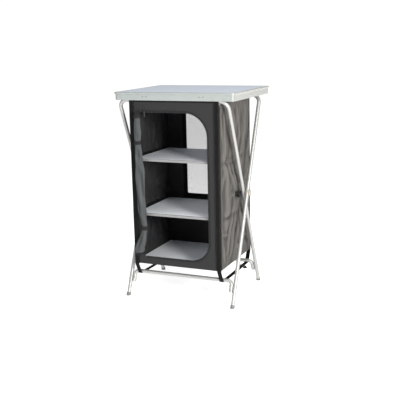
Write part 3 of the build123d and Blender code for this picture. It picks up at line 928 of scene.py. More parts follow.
@dataclass(frozen=True)
class Layout:
    """Places that several sub-assemblies share."""

    foot_spread: float = 228.0
    pivot_z: float = 530.0
    pivot_y: float = -31.268
    tube_z: float = 1000.0
    tube_radius: float = 9.5
    bar_z: float = 121.0
    half_body: float = 235.0
    fabric: float = 1.4
    sleeve_radius: float = 11.3
    webbing: float = 22.0
    strap_x: float = 225.0
    panel_bottom: float = 176.0
    panel_top: float = 993.0
    hem_reach: float = 212.0
    strap_fade: float = 14.0
    keep: float = 0.145
    tuck: float = 0.13
    fold: str = "rear_frame_fold"

    @property
    def tube_y(self) -> float:
        """How far each cross tube stands from the pivot line."""
        return (self.tube_z - self.pivot_z) * self.foot_spread / self.pivot_z

    @property
    def bar_y(self) -> float:
        """How far each crossbar stands from the pivot line."""
        return (self.pivot_z - self.bar_z) * self.foot_spread / self.pivot_z

    @property
    def panel_y(self) -> float:
        """How far the outer faces of the front and back panels stand from the pivot line."""
        return self.tube_y + self.sleeve_radius

    @property
    def front(self) -> float:
        """Y of the front panel's outer face."""
        return self.pivot_y - self.panel_y

    @property
    def rear(self) -> float:
        """Y of the back panel's outer face."""
        return self.pivot_y + self.panel_y

    @property
    def panel_box(self) -> tuple[float, float, float, float]:
        """Left, bottom, right and top of the front and back panels."""
        return -self.half_body, self.panel_bottom, self.half_body, self.panel_top

    def sew_hems(self, skin: Skin, y: float, out: np.ndarray, slot: int) -> None:
        """Stitches the bottom and top hem of a front or back panel.

        Args:
            skin: The panel's faces.
            y: Where its outer face is.
            out: The way out of the cloth.
            slot: Finish of the thread.
        """
        for level in (self.panel_bottom + 7, self.panel_top - 6):
            skin.stitches(points_at((-self.hem_reach, self.hem_reach), y, level), out, slot)

    def belly(self, share: np.ndarray, x: np.ndarray, least: float) -> np.ndarray:
        """How freely a panel's cloth hangs: not at its hole, its edge or the corner straps.

        Args:
            share: 0 at the hole, 1 at the edge.
            x: Across the panel.
            least: The freedom left under the straps.

        Returns:
            0 where held, 1 where free.
        """
        loose = np.clip((self.hem_reach + 2 - abs(x)) / self.strap_fade + least, 0, 1)
        return np.sin(math.pi * share) * loose

    def crumple(self, piece: bpy.types.Object, inside: bool = True) -> None:
        """Gives a soft piece its own copy of its mesh.

        Args:
            piece: The soft piece.
            inside: Not used.
        """
        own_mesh(piece)


# Sub-assemblies


@dataclass
class Tabletop:
    """The laid-on tabletop: laminate board, pressed rim, rivets, bearers and pads."""

    def dress(self) -> None:
        """Finishes the table's pieces."""
        dress(PALETTE.top_board, "table_board")
        # Painted shade on the long rims and the corners, painted light on the short rims.
        dress(PALETTE.rim_long, "rim_front", "rim_rear")
        dress(PALETTE.rim_short, "rim_left", "rim_right")
        dress(PALETTE.rim_corner, "rim_corners")
        dress(PALETTE.rivet, "rim_rivets")
        dress(PALETTE.bearer, "left_bearer", "right_bearer")
        dress(PALETTE.pad, "tube_pads")


@dataclass
class TubeFrames:
    """The two crossing tube frames with their bars, rivets, plugs and feet."""

    def dress(self) -> None:
        """Finishes the frames' pieces, each leg with its grain along the tube."""
        dress(PALETTE.cross_tube, "rear_top_tube", "front_top_tube", "front_crossbar", "rear_crossbar")
        dress(PALETTE.rear_top_leg, "rear_top_legs")
        dress(PALETTE.front_top_leg, "front_top_legs")
        dress(PALETTE.black_plastic, "rear_top_plugs", "front_top_plugs")
        dress(PALETTE.bright, "front_bar_rivets", "rear_bar_rivets")
        dress(PALETTE.foot, "front_feet", "rear_feet")


@dataclass
class Pivots:
    """Bolts, washers, nuts and caps, and the webbing ties that the side cloth hangs from."""

    layout: Layout
    patch_width: float = 42.0
    patch_height: float = 26.0
    patch_x: float = 244.9
    patch_drop: float = 6.0
    patch_forward: float = 7.0
    tongue_width: float = 16.0
    tongue: tuple[tuple[float, float], ...] = (
        (246.5, 514), (247.1, 509), (249.5, 507.5), (254, 508.2), (259, 510.5), (263, 513.5), (265.1, 517.5),
        (265.5, 523), (265.5, 530), (265.5, 537), (265.5, 543))

    def dress(self) -> None:
        """Finishes the hard pieces."""
        dress(PALETTE.zinc, "pivot_bolts", "pivot_washers")
        dress(PALETTE.black_plastic, "pivot_nuts")
        dress(PALETTE.beige_cap, "pivot_caps")

    def build(self) -> None:
        """Sews a patch on each side cloth and runs its tongue out to the bolt."""
        plan = self.layout
        for side in Side:
            s, skin = side.value, Skin()
            centre = np.array([0, plan.pivot_y - self.patch_forward, plan.pivot_z - self.patch_drop])
            rise = np.linspace(-self.patch_height / 2, self.patch_height / 2, 9)
            face = s * (self.patch_x + 0.5 - 0.4 * np.cos(rise / 7))
            skin.strip(centre + points_at(face, 0, rise), Y_AXIS, self.patch_width, plan.fabric)
            half = np.array([self.patch_width, self.patch_height]) / 2
            outer, inner = half - 2.5, half - 5.0
            around = [(-1, -1), (1, -1), (1, 1), (-1, 1), (-1, -1)]
            crossed = [(-1, -1), (1, 1), (1, -1), (-1, 1)]
            for size, corners in ((outer, around), (inner, around), (inner, crossed)):
                y, z = (np.array(corners) * size).T
                skin.stitches(centre + points_at(s * (self.patch_x + 1.5), y, z), s * X_AXIS, 1)
            x, z = np.array(self.tongue).T
            skin.strip(points_at(s * x, plan.pivot_y, z), Y_AXIS, self.tongue_width, plan.fabric, start=30)
            piece = skin.build(side.word + "_tie", [PALETTE.webbing, PALETTE.pale_thread])
            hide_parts("side_ties")
            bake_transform(piece)


@dataclass
class Sleeves:
    """The two cloth sleeves that hold the cross tubes, each closed by a sewn seam."""

    layout: Layout
    straight_end: float = 232.0
    calm_end: float = 12.0
    around: int = 36

    def build(self) -> None:
        """Wraps each tube once, with small creases round it and a seam underneath."""
        plan = self.layout
        for sign, word, body in ((-1, "front", "front_top_frame"), (1, "rear", "rear_top_frame")):
            low, high = sorted((sign * plan.half_body, -sign * self.straight_end))
            tube = plan.pivot_y + sign * plan.tube_y
            x = np.linspace(low, high, 120)[:, None]
            turn = np.linspace(-0.55 * math.pi, 1.55 * math.pi, self.around)[None, :]
            crease = 0.35 * ripple(3 + sign, x / 46, turn / 9) + 0.25 * ripple(9 + sign, x / 17, turn / 4)
            end = np.minimum(np.minimum(x - low, high - x) / self.calm_end, 1)
            lap = 1.1 * np.clip((turn - 1.30 * math.pi) / (0.2 * math.pi), 0, 1)
            radius = plan.sleeve_radius + 0.15 + crease * end + lap
            outer = points_at(x, tube - sign * radius * np.cos(turn), plan.tube_z + radius * np.sin(turn))
            skin = Skin()
            skin.sheet(outer, points_at(x, turn * plan.sleeve_radius), plan.fabric - 0.2, turned=sign > 0)
            ring = np.linspace(0, 2 * math.pi, 40)
            out = points_at(0, np.cos(ring), np.sin(ring))
            for edge in (low + 4, high - 4):
                at = np.array([edge, tube, plan.tube_z])
                skin.stitches(at + out * (plan.sleeve_radius + 0.4), out, 2)
            piece = skin.build(
                word + "_tube_sleeve", [PALETTE.sleeve_cloth, PALETTE.coating, PALETTE.pale_thread])
            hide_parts(word + "_sleeve")
            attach(piece, body)


@dataclass
class DoorOpening:
    """The D-shaped outline of the door."""

    left: float = -180.0
    right: float = 178.0
    bottom: float = 213.0
    top: float = 948.0
    hinge_radius: float = 14.0
    bottom_radius: float = 100.0
    top_radius: float = 120.0

    def outline(self, grow: float = 0.0, fine: float = 3.0) -> np.ndarray:
        """The outline from the top of the hinge edge round the free edges and back.

        Args:
            grow: How far it is moved outward.
            fine: Largest step.

        Returns:
            Points as x and z, n by 2, without the hinge edge.
        """
        l, r, b, t = self.left - grow, self.right + grow, self.bottom - grow, self.top + grow
        hinge, low, high = self.hinge_radius + grow, self.bottom_radius + grow, self.top_radius + grow
        corners = [((l + hinge, t - hinge), hinge, 180), ((r - high, t - high), high, 90),
                   ((r - low, b + low), low, 0), ((l + hinge, b + hinge), hinge, -90)]
        points = []
        for (cx, cz), radius, start in corners:
            for angle in np.radians(np.linspace(start, start - 90, max(6, int(radius * 1.6 / fine)))):
                points.append((cx + radius * math.cos(angle), cz + radius * math.sin(angle)))
        path = np.array(points)
        gone = travelled(path)
        return read_along(path, gone, np.union1d(gone, np.arange(0, gone[-1], fine * 2)))


def ring_of(hole: np.ndarray, box: tuple[float, float, float, float], centre: tuple[float, float],
            rings: int, steps: int = 260) -> np.ndarray:
    """Fills the space between a hole and a rectangle round it with rings of points.

    Args:
        hole: The hole's closed outline as x and z.
        box: Left, bottom, right and top of the rectangle.
        centre: A point inside the hole that sees all of it.
        rings: Number of rings.
        steps: Points round each ring, besides the corners.

    Returns:
        Rings by points by 2, from the hole outward.
    """
    cx, cz = centre
    left, bottom, right, top = box
    corners = np.array([(left, bottom), (right, bottom), (right, top), (left, top)])
    inner_angle = np.arctan2(hole[:, 1] - cz, hole[:, 0] - cx)
    order = np.argsort(inner_angle)
    reach = np.hypot(hole[:, 0] - cx, hole[:, 1] - cz)
    angles = np.union1d(np.linspace(-math.pi, math.pi, steps, endpoint=False),
                        np.arctan2(corners[:, 1] - cz, corners[:, 0] - cx))
    angles = angles[np.concatenate([[True], np.diff(angles) > 1e-4])]
    inner = np.interp(angles, inner_angle[order], reach[order], period=2 * math.pi)
    way = points_at(np.cos(angles), np.sin(angles))
    steep = np.maximum(abs(way), 1e-9)
    wall_x = np.where(way[:, 0] > 0, right - cx, cx - left) / steep[:, 0]
    wall_z = np.where(way[:, 1] > 0, top - cz, cz - bottom) / steep[:, 1]
    outer = np.minimum(wall_x, wall_z)
    share = np.linspace(0, 1, rings)[:, None]
    radius = inner[None, :] * (1 - share) + outer[None, :] * share
    return np.array([cx, cz]) + radius[:, :, None] * way[None, :, :]


@dataclass
class FrontPanel:
    """The front cloth with its door opening, and the zip round the free edges of the door."""

    layout: Layout
    opening: DoorOpening = field(default_factory=DoorOpening)
    centre: tuple[float, float] = (-1.0, 580.0)
    rings: int = 12
    slack: float = 2.2
    tape: float = 5.0
    tooth_pitch: float = 2.1

    def hole(self) -> np.ndarray:
        """The closed outline of the door, with the hinge edge.

        Returns:
            Points as x and z, n by 2.
        """
        free = self.opening.outline()
        steps = np.linspace(0, 1, 120)[1:-1, None]
        return np.concatenate([free, free[-1] * (1 - steps) + free[0] * steps])

    def build(self) -> None:
        """Makes the cloth and the zip."""
        self.build_cloth()
        self.build_zip()

    def build_cloth(self) -> None:
        """Cloth in rings round the door: slack in the middle of each band, puckered at the zip."""
        plan, skin = self.layout, Skin()
        grid = ring_of(self.hole(), plan.panel_box, self.centre, self.rings)
        x, z = grid[:, :, 0], grid[:, :, 1]
        share = np.linspace(0, 1, self.rings)[:, None]
        sag = self.slack * plan.belly(share, x, 0.35) * (0.55 + 0.45 * ripple(21, x / 260, z / 190))
        pucker = 0.55 * np.sin((x + z) / 5.2) * (1 - share) ** 2 * share * 4
        outer = points_at(x, plan.front + np.clip(sag + pucker, 0, 4), z)
        skin.sheet(outer, grid, plan.fabric, ring=True, turned=True)
        for grow in (7.5, 10.5):
            x, z = self.opening.outline(grow).T
            skin.stitches(points_at(x, plan.front - 0.1, z), -Y_AXIS, 2)
        plan.sew_hems(skin, plan.front - 0.1, -Y_AXIS, 2)
        piece = skin.build("front_cloth_panel", [PALETTE.front_cloth, PALETTE.coating, PALETTE.thread])
        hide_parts("front_panel")
        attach(piece, "front_cloth")

    def build_zip(self) -> None:
        """Woven tape on the cloth with a row of coil teeth on its free edge."""
        plan, skin = self.layout, Skin()
        free = self.opening.outline(0.0, 2.0)
        free = free[free[:, 0] > self.opening.left + 10]
        run = np.gradient(free, axis=0)
        out = unit(points_at(-run[:, 1], 0, run[:, 0]))
        line = points_at(free[:, 0], plan.front - 0.6, free[:, 1])
        skin.strip(line, out, 2 * self.tape, 0.9)
        skin.stitches(line + out * 3.4 - Y_AXIS * 0.35, -Y_AXIS, 1)
        for inset in (4.0, 5.4):
            skin.stitches(line - out * inset - Y_AXIS * 0.3, -Y_AXIS, 1,
                          pitch=self.tooth_pitch, length=2.9, size=0.62, across=True)
        piece = skin.build("door_zip_half", [PALETTE.narrow_tape, PALETTE.zip_metal])
        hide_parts("door_zip")
        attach(piece, "front_cloth")
        dress(PALETTE.zip_metal, "zip_slider", "zip_pull")


@dataclass
class DoorRoll:
    """The open door, rolled up along its hinge edge and held by three ties."""

    layout: Layout
    rows: tuple[tuple[float, float, float, float], ...] = (
        (228, -198, 24, 15), (262, -196, 27, 16), (310, -180, 22, 15), (356, -167, 16.5, 13),
        (380, -167, 16.5, 13), (450, -174, 24, 16), (538, -180, 26.5, 17), (620, -183, 25.5, 17),
        (700, -184, 23, 16), (786, -188, 17.5, 13.5), (806, -188, 17.5, 13.5), (860, -187, 19, 15),
        (914, -188, 15.5, 12), (934, -188, 15.5, 12), (946, -190, 15, 12))
    ties: tuple[tuple[float, float], ...] = ((368, 20), (796, 16), (924, 16))
    tie_reach: float = 70.0
    stand_off: float = 2.6
    turns: float = 3.6
    hinge_x: float = -180.0
    low: float = 228.0
    high: float = 946.0
    width: float = 358.0
    corner: float = 60.0
    cloth: float = 1.2

    def section(self, z: np.ndarray) -> tuple[np.ndarray, np.ndarray, np.ndarray]:
        """The roll's middle, half width and half thickness at a height.

        Args:
            z: The heights.

        Returns:
            The three sizes at each height.
        """
        table = np.array(self.rows)
        reach = np.linspace(-9, 9, 7)
        middle, half_x, half_y = (
            np.mean([np.interp(z + r, table[:, 0], table[:, i]) for r in reach], axis=0) for i in (1, 2, 3))
        return middle, half_x, half_y

    def build(self) -> None:
        """Makes the roll and its ties."""
        self.build_cloth()
        for number, (level, width) in enumerate(self.ties):
            self.build_tie(number, level, width)

    def build_cloth(self) -> None:
        """The door as one cloth wound on itself, with folds that run into the ties."""
        plan, skin = self.layout, Skin()
        rows, columns = 110, 150
        share = np.linspace(0, 1, columns)[None, :]
        height = np.linspace(0, 1, rows)[:, None]
        wound = share * self.turns * 2 * math.pi
        corner = self.corner * np.clip((share - 0.72) / 0.28, 0, 1) ** 2
        droop = 5 * np.sin(wound + 0.6)
        z = (self.low + corner + droop) * (1 - height) + (self.high - corner) * height
        middle, half_x, half_y = self.section(z)
        free = np.ones_like(z)
        for level, width in self.ties:
            free *= np.clip((abs(z - level) - width / 2) / self.tie_reach, 0, 1)
        free = np.sqrt(free)
        turn = math.pi / 2 - wound
        fold = 0.12 * np.sin(3 * turn + z / 110 + 1.1) + 0.07 * np.sin(5 * turn - z / 52)
        fold += 0.10 * np.sin(2 * turn + z / 19 + 2 * np.sin(z / 61)) * np.clip(1.2 - 2 * share, 0, 1)
        gather = 0.05 * np.sin(9 * turn + z / 300) * np.exp(-free * 2.2)
        size = (1 - 0.74 * share) * (1 + fold * free + gather)
        lead = np.clip(1 - share * self.turns * 4, 0, 1)
        x = middle + half_x * size * np.cos(turn)
        y = plan.front - self.stand_off - half_y + half_y * size * np.sin(turn)
        x = x * (1 - lead) + (self.hinge_x + 2) * lead
        y = y * (1 - lead) + (plan.front - 0.4) * lead
        outer = points_at(x, y, z)
        tape = np.zeros((rows - 1, columns - 1), int)
        tape[:2, :] = tape[-2:, :] = 2
        tape[:, -4:] = 2
        # The fold heights also set painted highlights on the crests and painted shade in the creases.
        skin.sheet(outer, points_at(share * self.width, z), self.cloth, outside=tape, turned=True,
                   worn=5 * (fold * free + gather))
        for row in (3, rows - 4):
            skin.stitches(outer[row], points_at(np.cos(turn[0]), np.sin(turn[0]), 0), 3)
        piece = skin.build("rolled_door", [PALETTE.door_cloth, PALETTE.front_cloth, PALETTE.narrow_tape,
                                           PALETTE.thread])
        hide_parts("door_roll")
        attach(piece, "front_cloth")

    def build_tie(self, number: int, level: float, width: float) -> None:
        """One tie: a band once round the roll, its end lapped over and sewn at the back.

        Args:
            number: The tie's number from the bottom.
            level: The height of its middle.
            width: Its width.
        """
        plan, skin = self.layout, Skin()
        degrees = np.linspace(100, -300, 64)
        turn = np.radians(degrees)
        middle, half_x, half_y = (float(a[0]) for a in self.section(np.array([level], float)))
        lap = 1.5 * np.clip((degrees + 210) / -30, 0, 1)
        grow = 1.9 + lap + 0.25 * np.sin(turn * 7)
        x = middle + (half_x + grow) * np.cos(turn)
        y = plan.front - self.stand_off - half_y + (half_y + grow - 0.6) * np.sin(turn)
        line = points_at(x, np.minimum(y, plan.front - 1.2), level + 1.2 * np.sin(turn + number))
        skin.strip(line, Z_AXIS, width, plan.fabric)
        out = points_at(np.cos(turn), np.sin(turn), 0)
        lapped = slice(46, 60)
        skin.stitches(line[lapped] + out[lapped] * 0.7, out[lapped], 1)
        piece = skin.build(f"door_tie_{number + 1}", [PALETTE.narrow_tape, PALETTE.pale_thread])
        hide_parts("door_ties")
        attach(piece, "front_cloth")


@dataclass
class BackPanel:
    """The back cloth with its gauze window and the webbing that frames the window inside."""

    layout: Layout
    half_window: float = 124.0
    window_bottom: float = 462.0
    window_top: float = 952.0
    margin: float = 9.0
    seams: tuple[float, float] = (3.0, 18.5)
    rings: int = 18

    @property
    def centre(self) -> tuple[float, float]:
        """The middle of the window."""
        return 0.0, (self.window_bottom + self.window_top) / 2

    def window(self, grow: float = 0.0) -> np.ndarray:
        """The window's closed outline.

        Args:
            grow: How far it is moved outward.

        Returns:
            Points as x and z, n by 2.
        """
        w, low, high = self.half_window + grow, self.window_bottom - grow, self.window_top + grow
        corners = np.array([(-w, low), (w, low), (w, high), (-w, high), (-w, low)])
        steps = np.linspace(0, 1, 90)[:-1, None]
        return np.concatenate([a * (1 - steps) + b * steps for a, b in zip(corners, corners[1:])])

    def build(self) -> None:
        """Makes the cloth, the gauze and the border."""
        plan, skin = self.layout, Skin()
        grid = ring_of(self.window(), plan.panel_box, self.centre, self.rings)
        x, z = grid[:, :, 0], grid[:, :, 1]
        belly = plan.belly(np.linspace(0, 1, self.rings)[:, None], x, 0.3)
        drape = 2.6 * belly * (0.5 + 0.5 * ripple(31, x / 150, z / 420))
        drape += 0.8 * belly * ripple(33, x / 60, z / 90)
        skin.sheet(points_at(x, plan.rear - np.clip(drape, 0, 5), z), grid, plan.fabric, ring=True)
        for grow in self.seams:
            x, z = self.window(grow).T
            skin.stitches(points_at(x, plan.rear + 0.05, z), Y_AXIS, 2)
        plan.sew_hems(skin, plan.rear + 0.1, Y_AXIS, 2)
        piece = skin.build("back_cloth_panel", [PALETTE.side_cloth, PALETTE.coating, PALETTE.thread])
        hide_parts("back_panel")
        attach(piece, "back_cloth")
        self.build_gauze()
        self.build_border()

    def build_gauze(self) -> None:
        """The net, a little slack in its frame."""
        plan, skin, w = self.layout, Skin(), self.half_window + self.margin
        rows, columns = 70, 40
        x = np.linspace(-w, w, columns)[None, :]
        z = np.linspace(self.window_bottom - self.margin, self.window_top + self.margin, rows)[:, None]
        hollow = np.sin(math.pi * (x + w) / (2 * w)) * np.sin(math.pi * (z - z[0]) / (z[-1] - z[0]))
        y = plan.rear - plan.fabric - 0.4 - hollow * (1.6 + 0.8 * ripple(41, x / 120, z / 160))
        skin.lattice(skin.put(points_at(x, y, z), points_at(x, z)), rows, columns, 0)
        piece = skin.build("window_gauze", [PALETTE.gauze])
        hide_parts("window_mesh")
        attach(piece, "back_cloth")

    def build_border(self) -> None:
        """Four lengths of webbing with mitred corners and two rows of stitches."""
        plan, wide, skin = self.layout, self.layout.webbing, Skin()
        face = plan.rear - plan.fabric - 3.4
        (_, middle), half_height = self.centre, (self.window_top - self.window_bottom) / 2
        reach = self.half_window + wide
        box = (-reach, self.window_bottom - wide, reach, self.window_top + wide)
        rings = ring_of(self.window(), box, self.centre, 4, 120)
        x, z = rings[:, :, 0], rings[:, :, 1]
        upright = abs(x) - self.half_window > np.maximum(z - self.window_top, self.window_bottom - z)
        flat = np.where(upright[:, :, None], points_at(abs(x) - self.half_window - wide / 2, z),
                        points_at(abs(z - middle) - half_height - wide / 2, x))
        skin.sheet(points_at(x, face, z), flat, plan.fabric, inside=0, ring=True)
        for grow in self.seams:
            x, z = self.window(grow).T
            skin.stitches(points_at(x, face - 0.05, z), -Y_AXIS, 1)
        piece = skin.build("window_frame_webbing", [PALETTE.webbing, PALETTE.pale_thread])
        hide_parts("window_border")
        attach(piece, "back_cloth")


@dataclass(frozen=True)
class Fold:
    """One fold of a side cloth: its crest, and how high, wide and sharp it stands."""

    crest: tuple[tuple[float, float], ...]
    height: float
    width: float
    sharp: float = 0.5

    def raise_cloth(self, y: np.ndarray, z: np.ndarray) -> np.ndarray:
        """The fold's height at each point.

        Args:
            y: Distance from the pivot line, to the rear.
            z: Height.

        Returns:
            Millimetres, fading towards both ends of the crest.
        """
        path = np.array(self.crest, float)
        runs = travelled(path)
        nearest, gone = np.full(y.shape, 1e9), np.zeros(y.shape)
        for (ay, az), (by, bz), start in zip(path[:-1], path[1:], runs[:-1]):
            length = math.hypot(by - ay, bz - az)
            share = np.clip(((y - ay) * (by - ay) + (z - az) * (bz - az)) / length ** 2, 0, 1)
            off = np.hypot(y - ay - share * (by - ay), z - az - share * (bz - az))
            closer = off < nearest
            nearest, gone = np.where(closer, off, nearest), np.where(closer, start + share * length, gone)
        fade = np.sin(math.pi * np.clip(gone / runs[-1], 0.0, 1.0)) ** 0.6
        away = nearest / self.width
        crease, swell = np.exp(-np.sqrt(away ** 2 + 0.02) * 2.0), np.exp(-away ** 2)
        return self.height * fade * (self.sharp * crease + (1 - self.sharp) * swell)


@dataclass
class SidePanel:
    """One side cloth, drawn out by the tie at the pivot, and the webbing ledges sewn inside it."""

    layout: Layout
    side: Side
    levels: tuple[float, ...] = (178.0, 350.0, 524.0, 760.0, 1008.0)
    pulls: tuple[float, ...] = (1.0, 3.5, 9.0, 3.0, 1.0)
    tie_z: float = 524.0
    tie_y: float = -7.0
    bottom: float = 178.0
    notch: float = 189.9
    notch_z: float = 985.5
    depth: float = 2.8
    inmost: float = -2.4
    knee: float = 12.0
    outmost: float = 24.0
    # Fold height that gives the full painted highlight or painted shade.
    fold_shading_depth: float = 2.6
    ledge_tops: tuple[float, float] = (434.0, 710.0)
    ledge_depth: float = 10.7
    folds: tuple[Fold, ...] = (
        Fold(((-150, 985), (-160, 860), (-166, 720), (-156, 600), (-150, 470), (-160, 330)), 6.0, 15.0, 0.35),
        Fold(((-190, 960), (-188, 830), (-176, 700), (-186, 560)), 3.5, 9.0, 0.7),
        Fold(((-92, 990), (-84, 900), (-78, 800), (-70, 715)), 5.0, 13.0, 0.5),
        Fold(((-32, 1000), (-26, 900), (-34, 790)), 3.0, 16.0, 0.4),
        Fold(((34, 1000), (28, 920), (40, 820), (24, 730)), 3.2, 14.0, 0.5),
        Fold(((150, 985), (118, 880), (84, 770), (40, 660), (8, 570)), 6.5, 17.0, 0.55),
        Fold(((196, 900), (176, 780), (150, 660)), 3.6, 15.0, 0.5),
        Fold(((-196, 714), (-120, 706), (-40, 712), (60, 700)), 4.0, 8.0, 0.8),
        Fold(((-96, 700), (-72, 640), (-44, 575), (-22, 545)), 6.0, 11.0, 0.75),
        Fold(((-46, 692), (-34, 630), (-14, 560)), 5.0, 9.0, 0.75),
        Fold(((6, 700), (6, 620), (-4, 560)), 4.2, 9.0, 0.7),
        Fold(((-164, 700), (-136, 600), (-128, 480), (-140, 350)), 7.0, 26.0, 0.15),
        Fold(((-150, 520), (-90, 530), (-30, 526)), 3.5, 9.0, 0.8),
        Fold(((-24, 506), (-64, 440), (-108, 350), (-150, 230)), 6.5, 14.0, 0.6),
        Fold(((-12, 500), (-30, 420), (-66, 320), (-96, 205)), 6.0, 12.0, 0.65),
        Fold(((0, 500), (6, 420), (-8, 320), (-30, 215)), 4.5, 13.0, 0.55),
        Fold(((8, 504), (44, 430), (72, 330), (66, 220)), 5.5, 13.0, 0.6),
        Fold(((14, 510), (76, 450), (132, 360), (176, 262)), 6.5, 15.0, 0.6),
        Fold(((18, 522), (90, 508), (168, 470), (200, 430)), 4.5, 12.0, 0.65),
        Fold(((18, 534), (84, 566), (150, 600), (200, 650)), 5.0, 13.0, 0.6),
        Fold(((-196, 352), (-150, 344), (-96, 356)), 4.0, 8.0, 0.8),
        Fold(((110, 300), (150, 268), (196, 252)), 4.0, 11.0, 0.6),
        Fold(((-190, 300), (-180, 240), (-168, 196)), 4.0, 10.0, 0.6),
        Fold(((-40, 262), (20, 240), (96, 246), (150, 222)), 3.5, 12.0, 0.6),
    )

    def offset(self, y: np.ndarray, z: np.ndarray) -> np.ndarray:
        """How far the cloth stands out from its frame.

        Args:
            y: Distance from the pivot line, to the rear.
            z: Height.

        Returns:
            Millimetres outward.
        """
        reach = self.layout.panel_y
        seed = 50 + self.side.value
        from_tie_y, from_tie_z = y - self.tie_y, z - self.tie_z
        share = np.clip(abs(from_tie_y) / (reach - np.sign(from_tie_y) * self.tie_y), 0, 1)
        total = np.interp(z, self.levels, self.pulls) * (1 - share) ** 2.3
        held = np.clip((reach - abs(y)) / 30, 0, 1)
        held *= np.clip((z - self.bottom) / 45, 0, 1) * np.clip((992 - z) / 40, 0, 1)
        loose = np.clip(np.hypot(from_tie_y, from_tie_z) / 120, 0, 1)
        sway = 9.0 * ripple(seed + 3, y / 240, z / 300) * loose
        lift = np.zeros(total.shape)
        for number, fold in enumerate(self.folds):
            each = 1.0 if self.side is Side.RIGHT else 0.72 + 0.5 * ((number * 7) % 5) / 4
            lift += self.depth * each * fold.raise_cloth(y + sway, z + 0.6 * sway)
        lift += 3.6 * ripple(seed + 7, y / 125, z / 260) + 1.1 * ripple(seed + 9, y / 60, z / 130)
        near = np.exp(-(from_tie_y / 34) ** 4 - (from_tie_z / 24) ** 4)
        ledge = sum(np.exp(-((z - top + 4) / 14) ** 2) for top in self.ledge_tops)
        total += held * (lift + 0.8) * (1 - near) * (1 - 0.6 * np.clip(ledge, 0, 1))
        low = self.inmost + 1.6 * np.exp(-np.maximum(total, self.inmost) / 4)
        room = self.outmost - self.knee
        high = self.outmost - room * np.exp(-(total - self.knee) / room)
        return np.where(total > self.knee, high, np.maximum(total, low))

    def build(self) -> None:
        """Makes the cloth with its hems and seams, and the ledges."""
        plan, s, skin = self.layout, self.side.value, Skin()
        reach, rows = plan.panel_y - plan.fabric - 0.1, 236
        steps = [side * self.notch + near for side in (-1, 1) for near in (-1, 1)]
        y = np.union1d(np.linspace(-reach, reach, 132), steps)
        top = np.where(abs(y) > self.notch, self.notch_z, self.notch_z + 2.0)[None, :]
        z = self.bottom + np.linspace(0, 1, rows)[:, None] * (top - self.bottom)
        wide = np.broadcast_to(y[None, :], z.shape)
        stand = self.offset(wide, z)
        outer = points_at(s * (plan.half_body + stand), plan.pivot_y + wide, z)
        # Painted highlights on fold crests and painted shade in fold creases: the cloth's height against a
        # softened copy of itself.
        worn = (soften(stand, 1) - soften(stand, 7)) / self.fold_shading_depth
        skin.sheet(outer, points_at(wide, z), plan.fabric, turned=s < 0, worn=worn)
        seams = [(wide[r], z[r]) for r in (3, 5, rows - 8)]
        seams += [(wide[:, c], z[:, c]) for c in (2, 4, len(y) - 5, len(y) - 3)]
        for along_y, along_z in seams:
            face = s * (plan.half_body + self.offset(along_y, along_z) + 0.05)
            skin.stitches(points_at(face, plan.pivot_y + along_y, along_z), s * X_AXIS, 2)
        piece = skin.build(
            self.side.word + "_side_cloth", [PALETTE.side_cloth, PALETTE.coating, PALETTE.thread])
        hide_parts(self.side.word + "_panel")
        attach(piece, "cupboard")
        plan.crumple(piece)
        self.build_ledges()
        self.build_binding()

    def build_ledges(self) -> None:
        """Webbing folded to an angle: one leaf sewn to the cloth, one under the shelf end."""
        plan, s, skin = self.layout, self.side.value, Skin()
        rise = np.array([22.0, 16, 10, 4, 1, 0, 0, 0, 0, 0])
        inward = np.array([0.0, 0, 0, 0, 0.3, 1.2, 6, 12, 17, 22])
        lean = np.clip(1 - inward / 8, 0, 1)
        leaf = np.linspace(-22, 22, len(rise)) % 22 - 11
        for top in self.ledge_tops:
            y, z = np.broadcast_arrays(np.linspace(-187, 187, 60)[:, None], top - self.ledge_depth + rise)
            base = plan.half_body - plan.fabric - 0.3 - inward
            x = s * (base + lean * self.offset(y, z))
            outer = points_at(x, plan.pivot_y + y, z)
            skin.sheet(outer, points_at(leaf, y), plan.fabric, inside=0, turned=s < 0)
        piece = skin.build(self.side.word + "_ledge_webbing", [PALETTE.webbing])
        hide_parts(self.side.word + "_shelf_ledges")
        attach(piece, "cupboard")
        plan.crumple(piece)

    def build_binding(self) -> None:
        """A narrow binding along the front and rear corner seams."""
        plan, s, skin = self.layout, self.side.value, Skin()
        z = np.linspace(180, 976, 160)
        for end in (-1, 1):
            y = np.full(len(z), end * (plan.panel_y - plan.fabric - 4.6))
            face = s * (plan.half_body + self.offset(y, z) + 0.75)
            line = points_at(face, plan.pivot_y + y + 0.2 * np.sin(z / 9.0), z)
            skin.strip(line, Y_AXIS, 8.0, 1.2)
            skin.stitches(line + (s * 0.6, -end * 2.4, 0), s * X_AXIS, 1)
        piece = skin.build(self.side.word + "_seam_binding", [PALETTE.narrow_tape, PALETTE.pale_thread])
        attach(piece, "cupboard")
        plan.crumple(piece)


@dataclass
class FloorPanel:
    """The cloth floor under the base board."""

    layout: Layout
    level: float = 178.0

    def build(self) -> None:
        """A sheet that sags a little between the four corner straps."""
        plan, skin = self.layout, Skin()
        half, reach = plan.half_body - plan.fabric - 0.2, plan.panel_y - plan.fabric - 0.2
        x = np.linspace(-half, half, 60)[None, :]
        y = np.linspace(-reach, reach, 50)[:, None]
        sag = np.sin(math.pi * (x + half) / (2 * half)) * np.sin(math.pi * (y + reach) / (2 * reach))
        z = self.level - sag * (1.2 + 0.6 * ripple(61, x / 160, y / 140))
        outer = points_at(x, plan.pivot_y + y, z)
        skin.sheet(outer, outer[:, :, :2], plan.fabric, turned=True)
        piece = skin.build("floor_cloth", [PALETTE.front_cloth, PALETTE.coating])
        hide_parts("floor_panel")
        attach(piece, "cupboard")
        plan.crumple(piece)


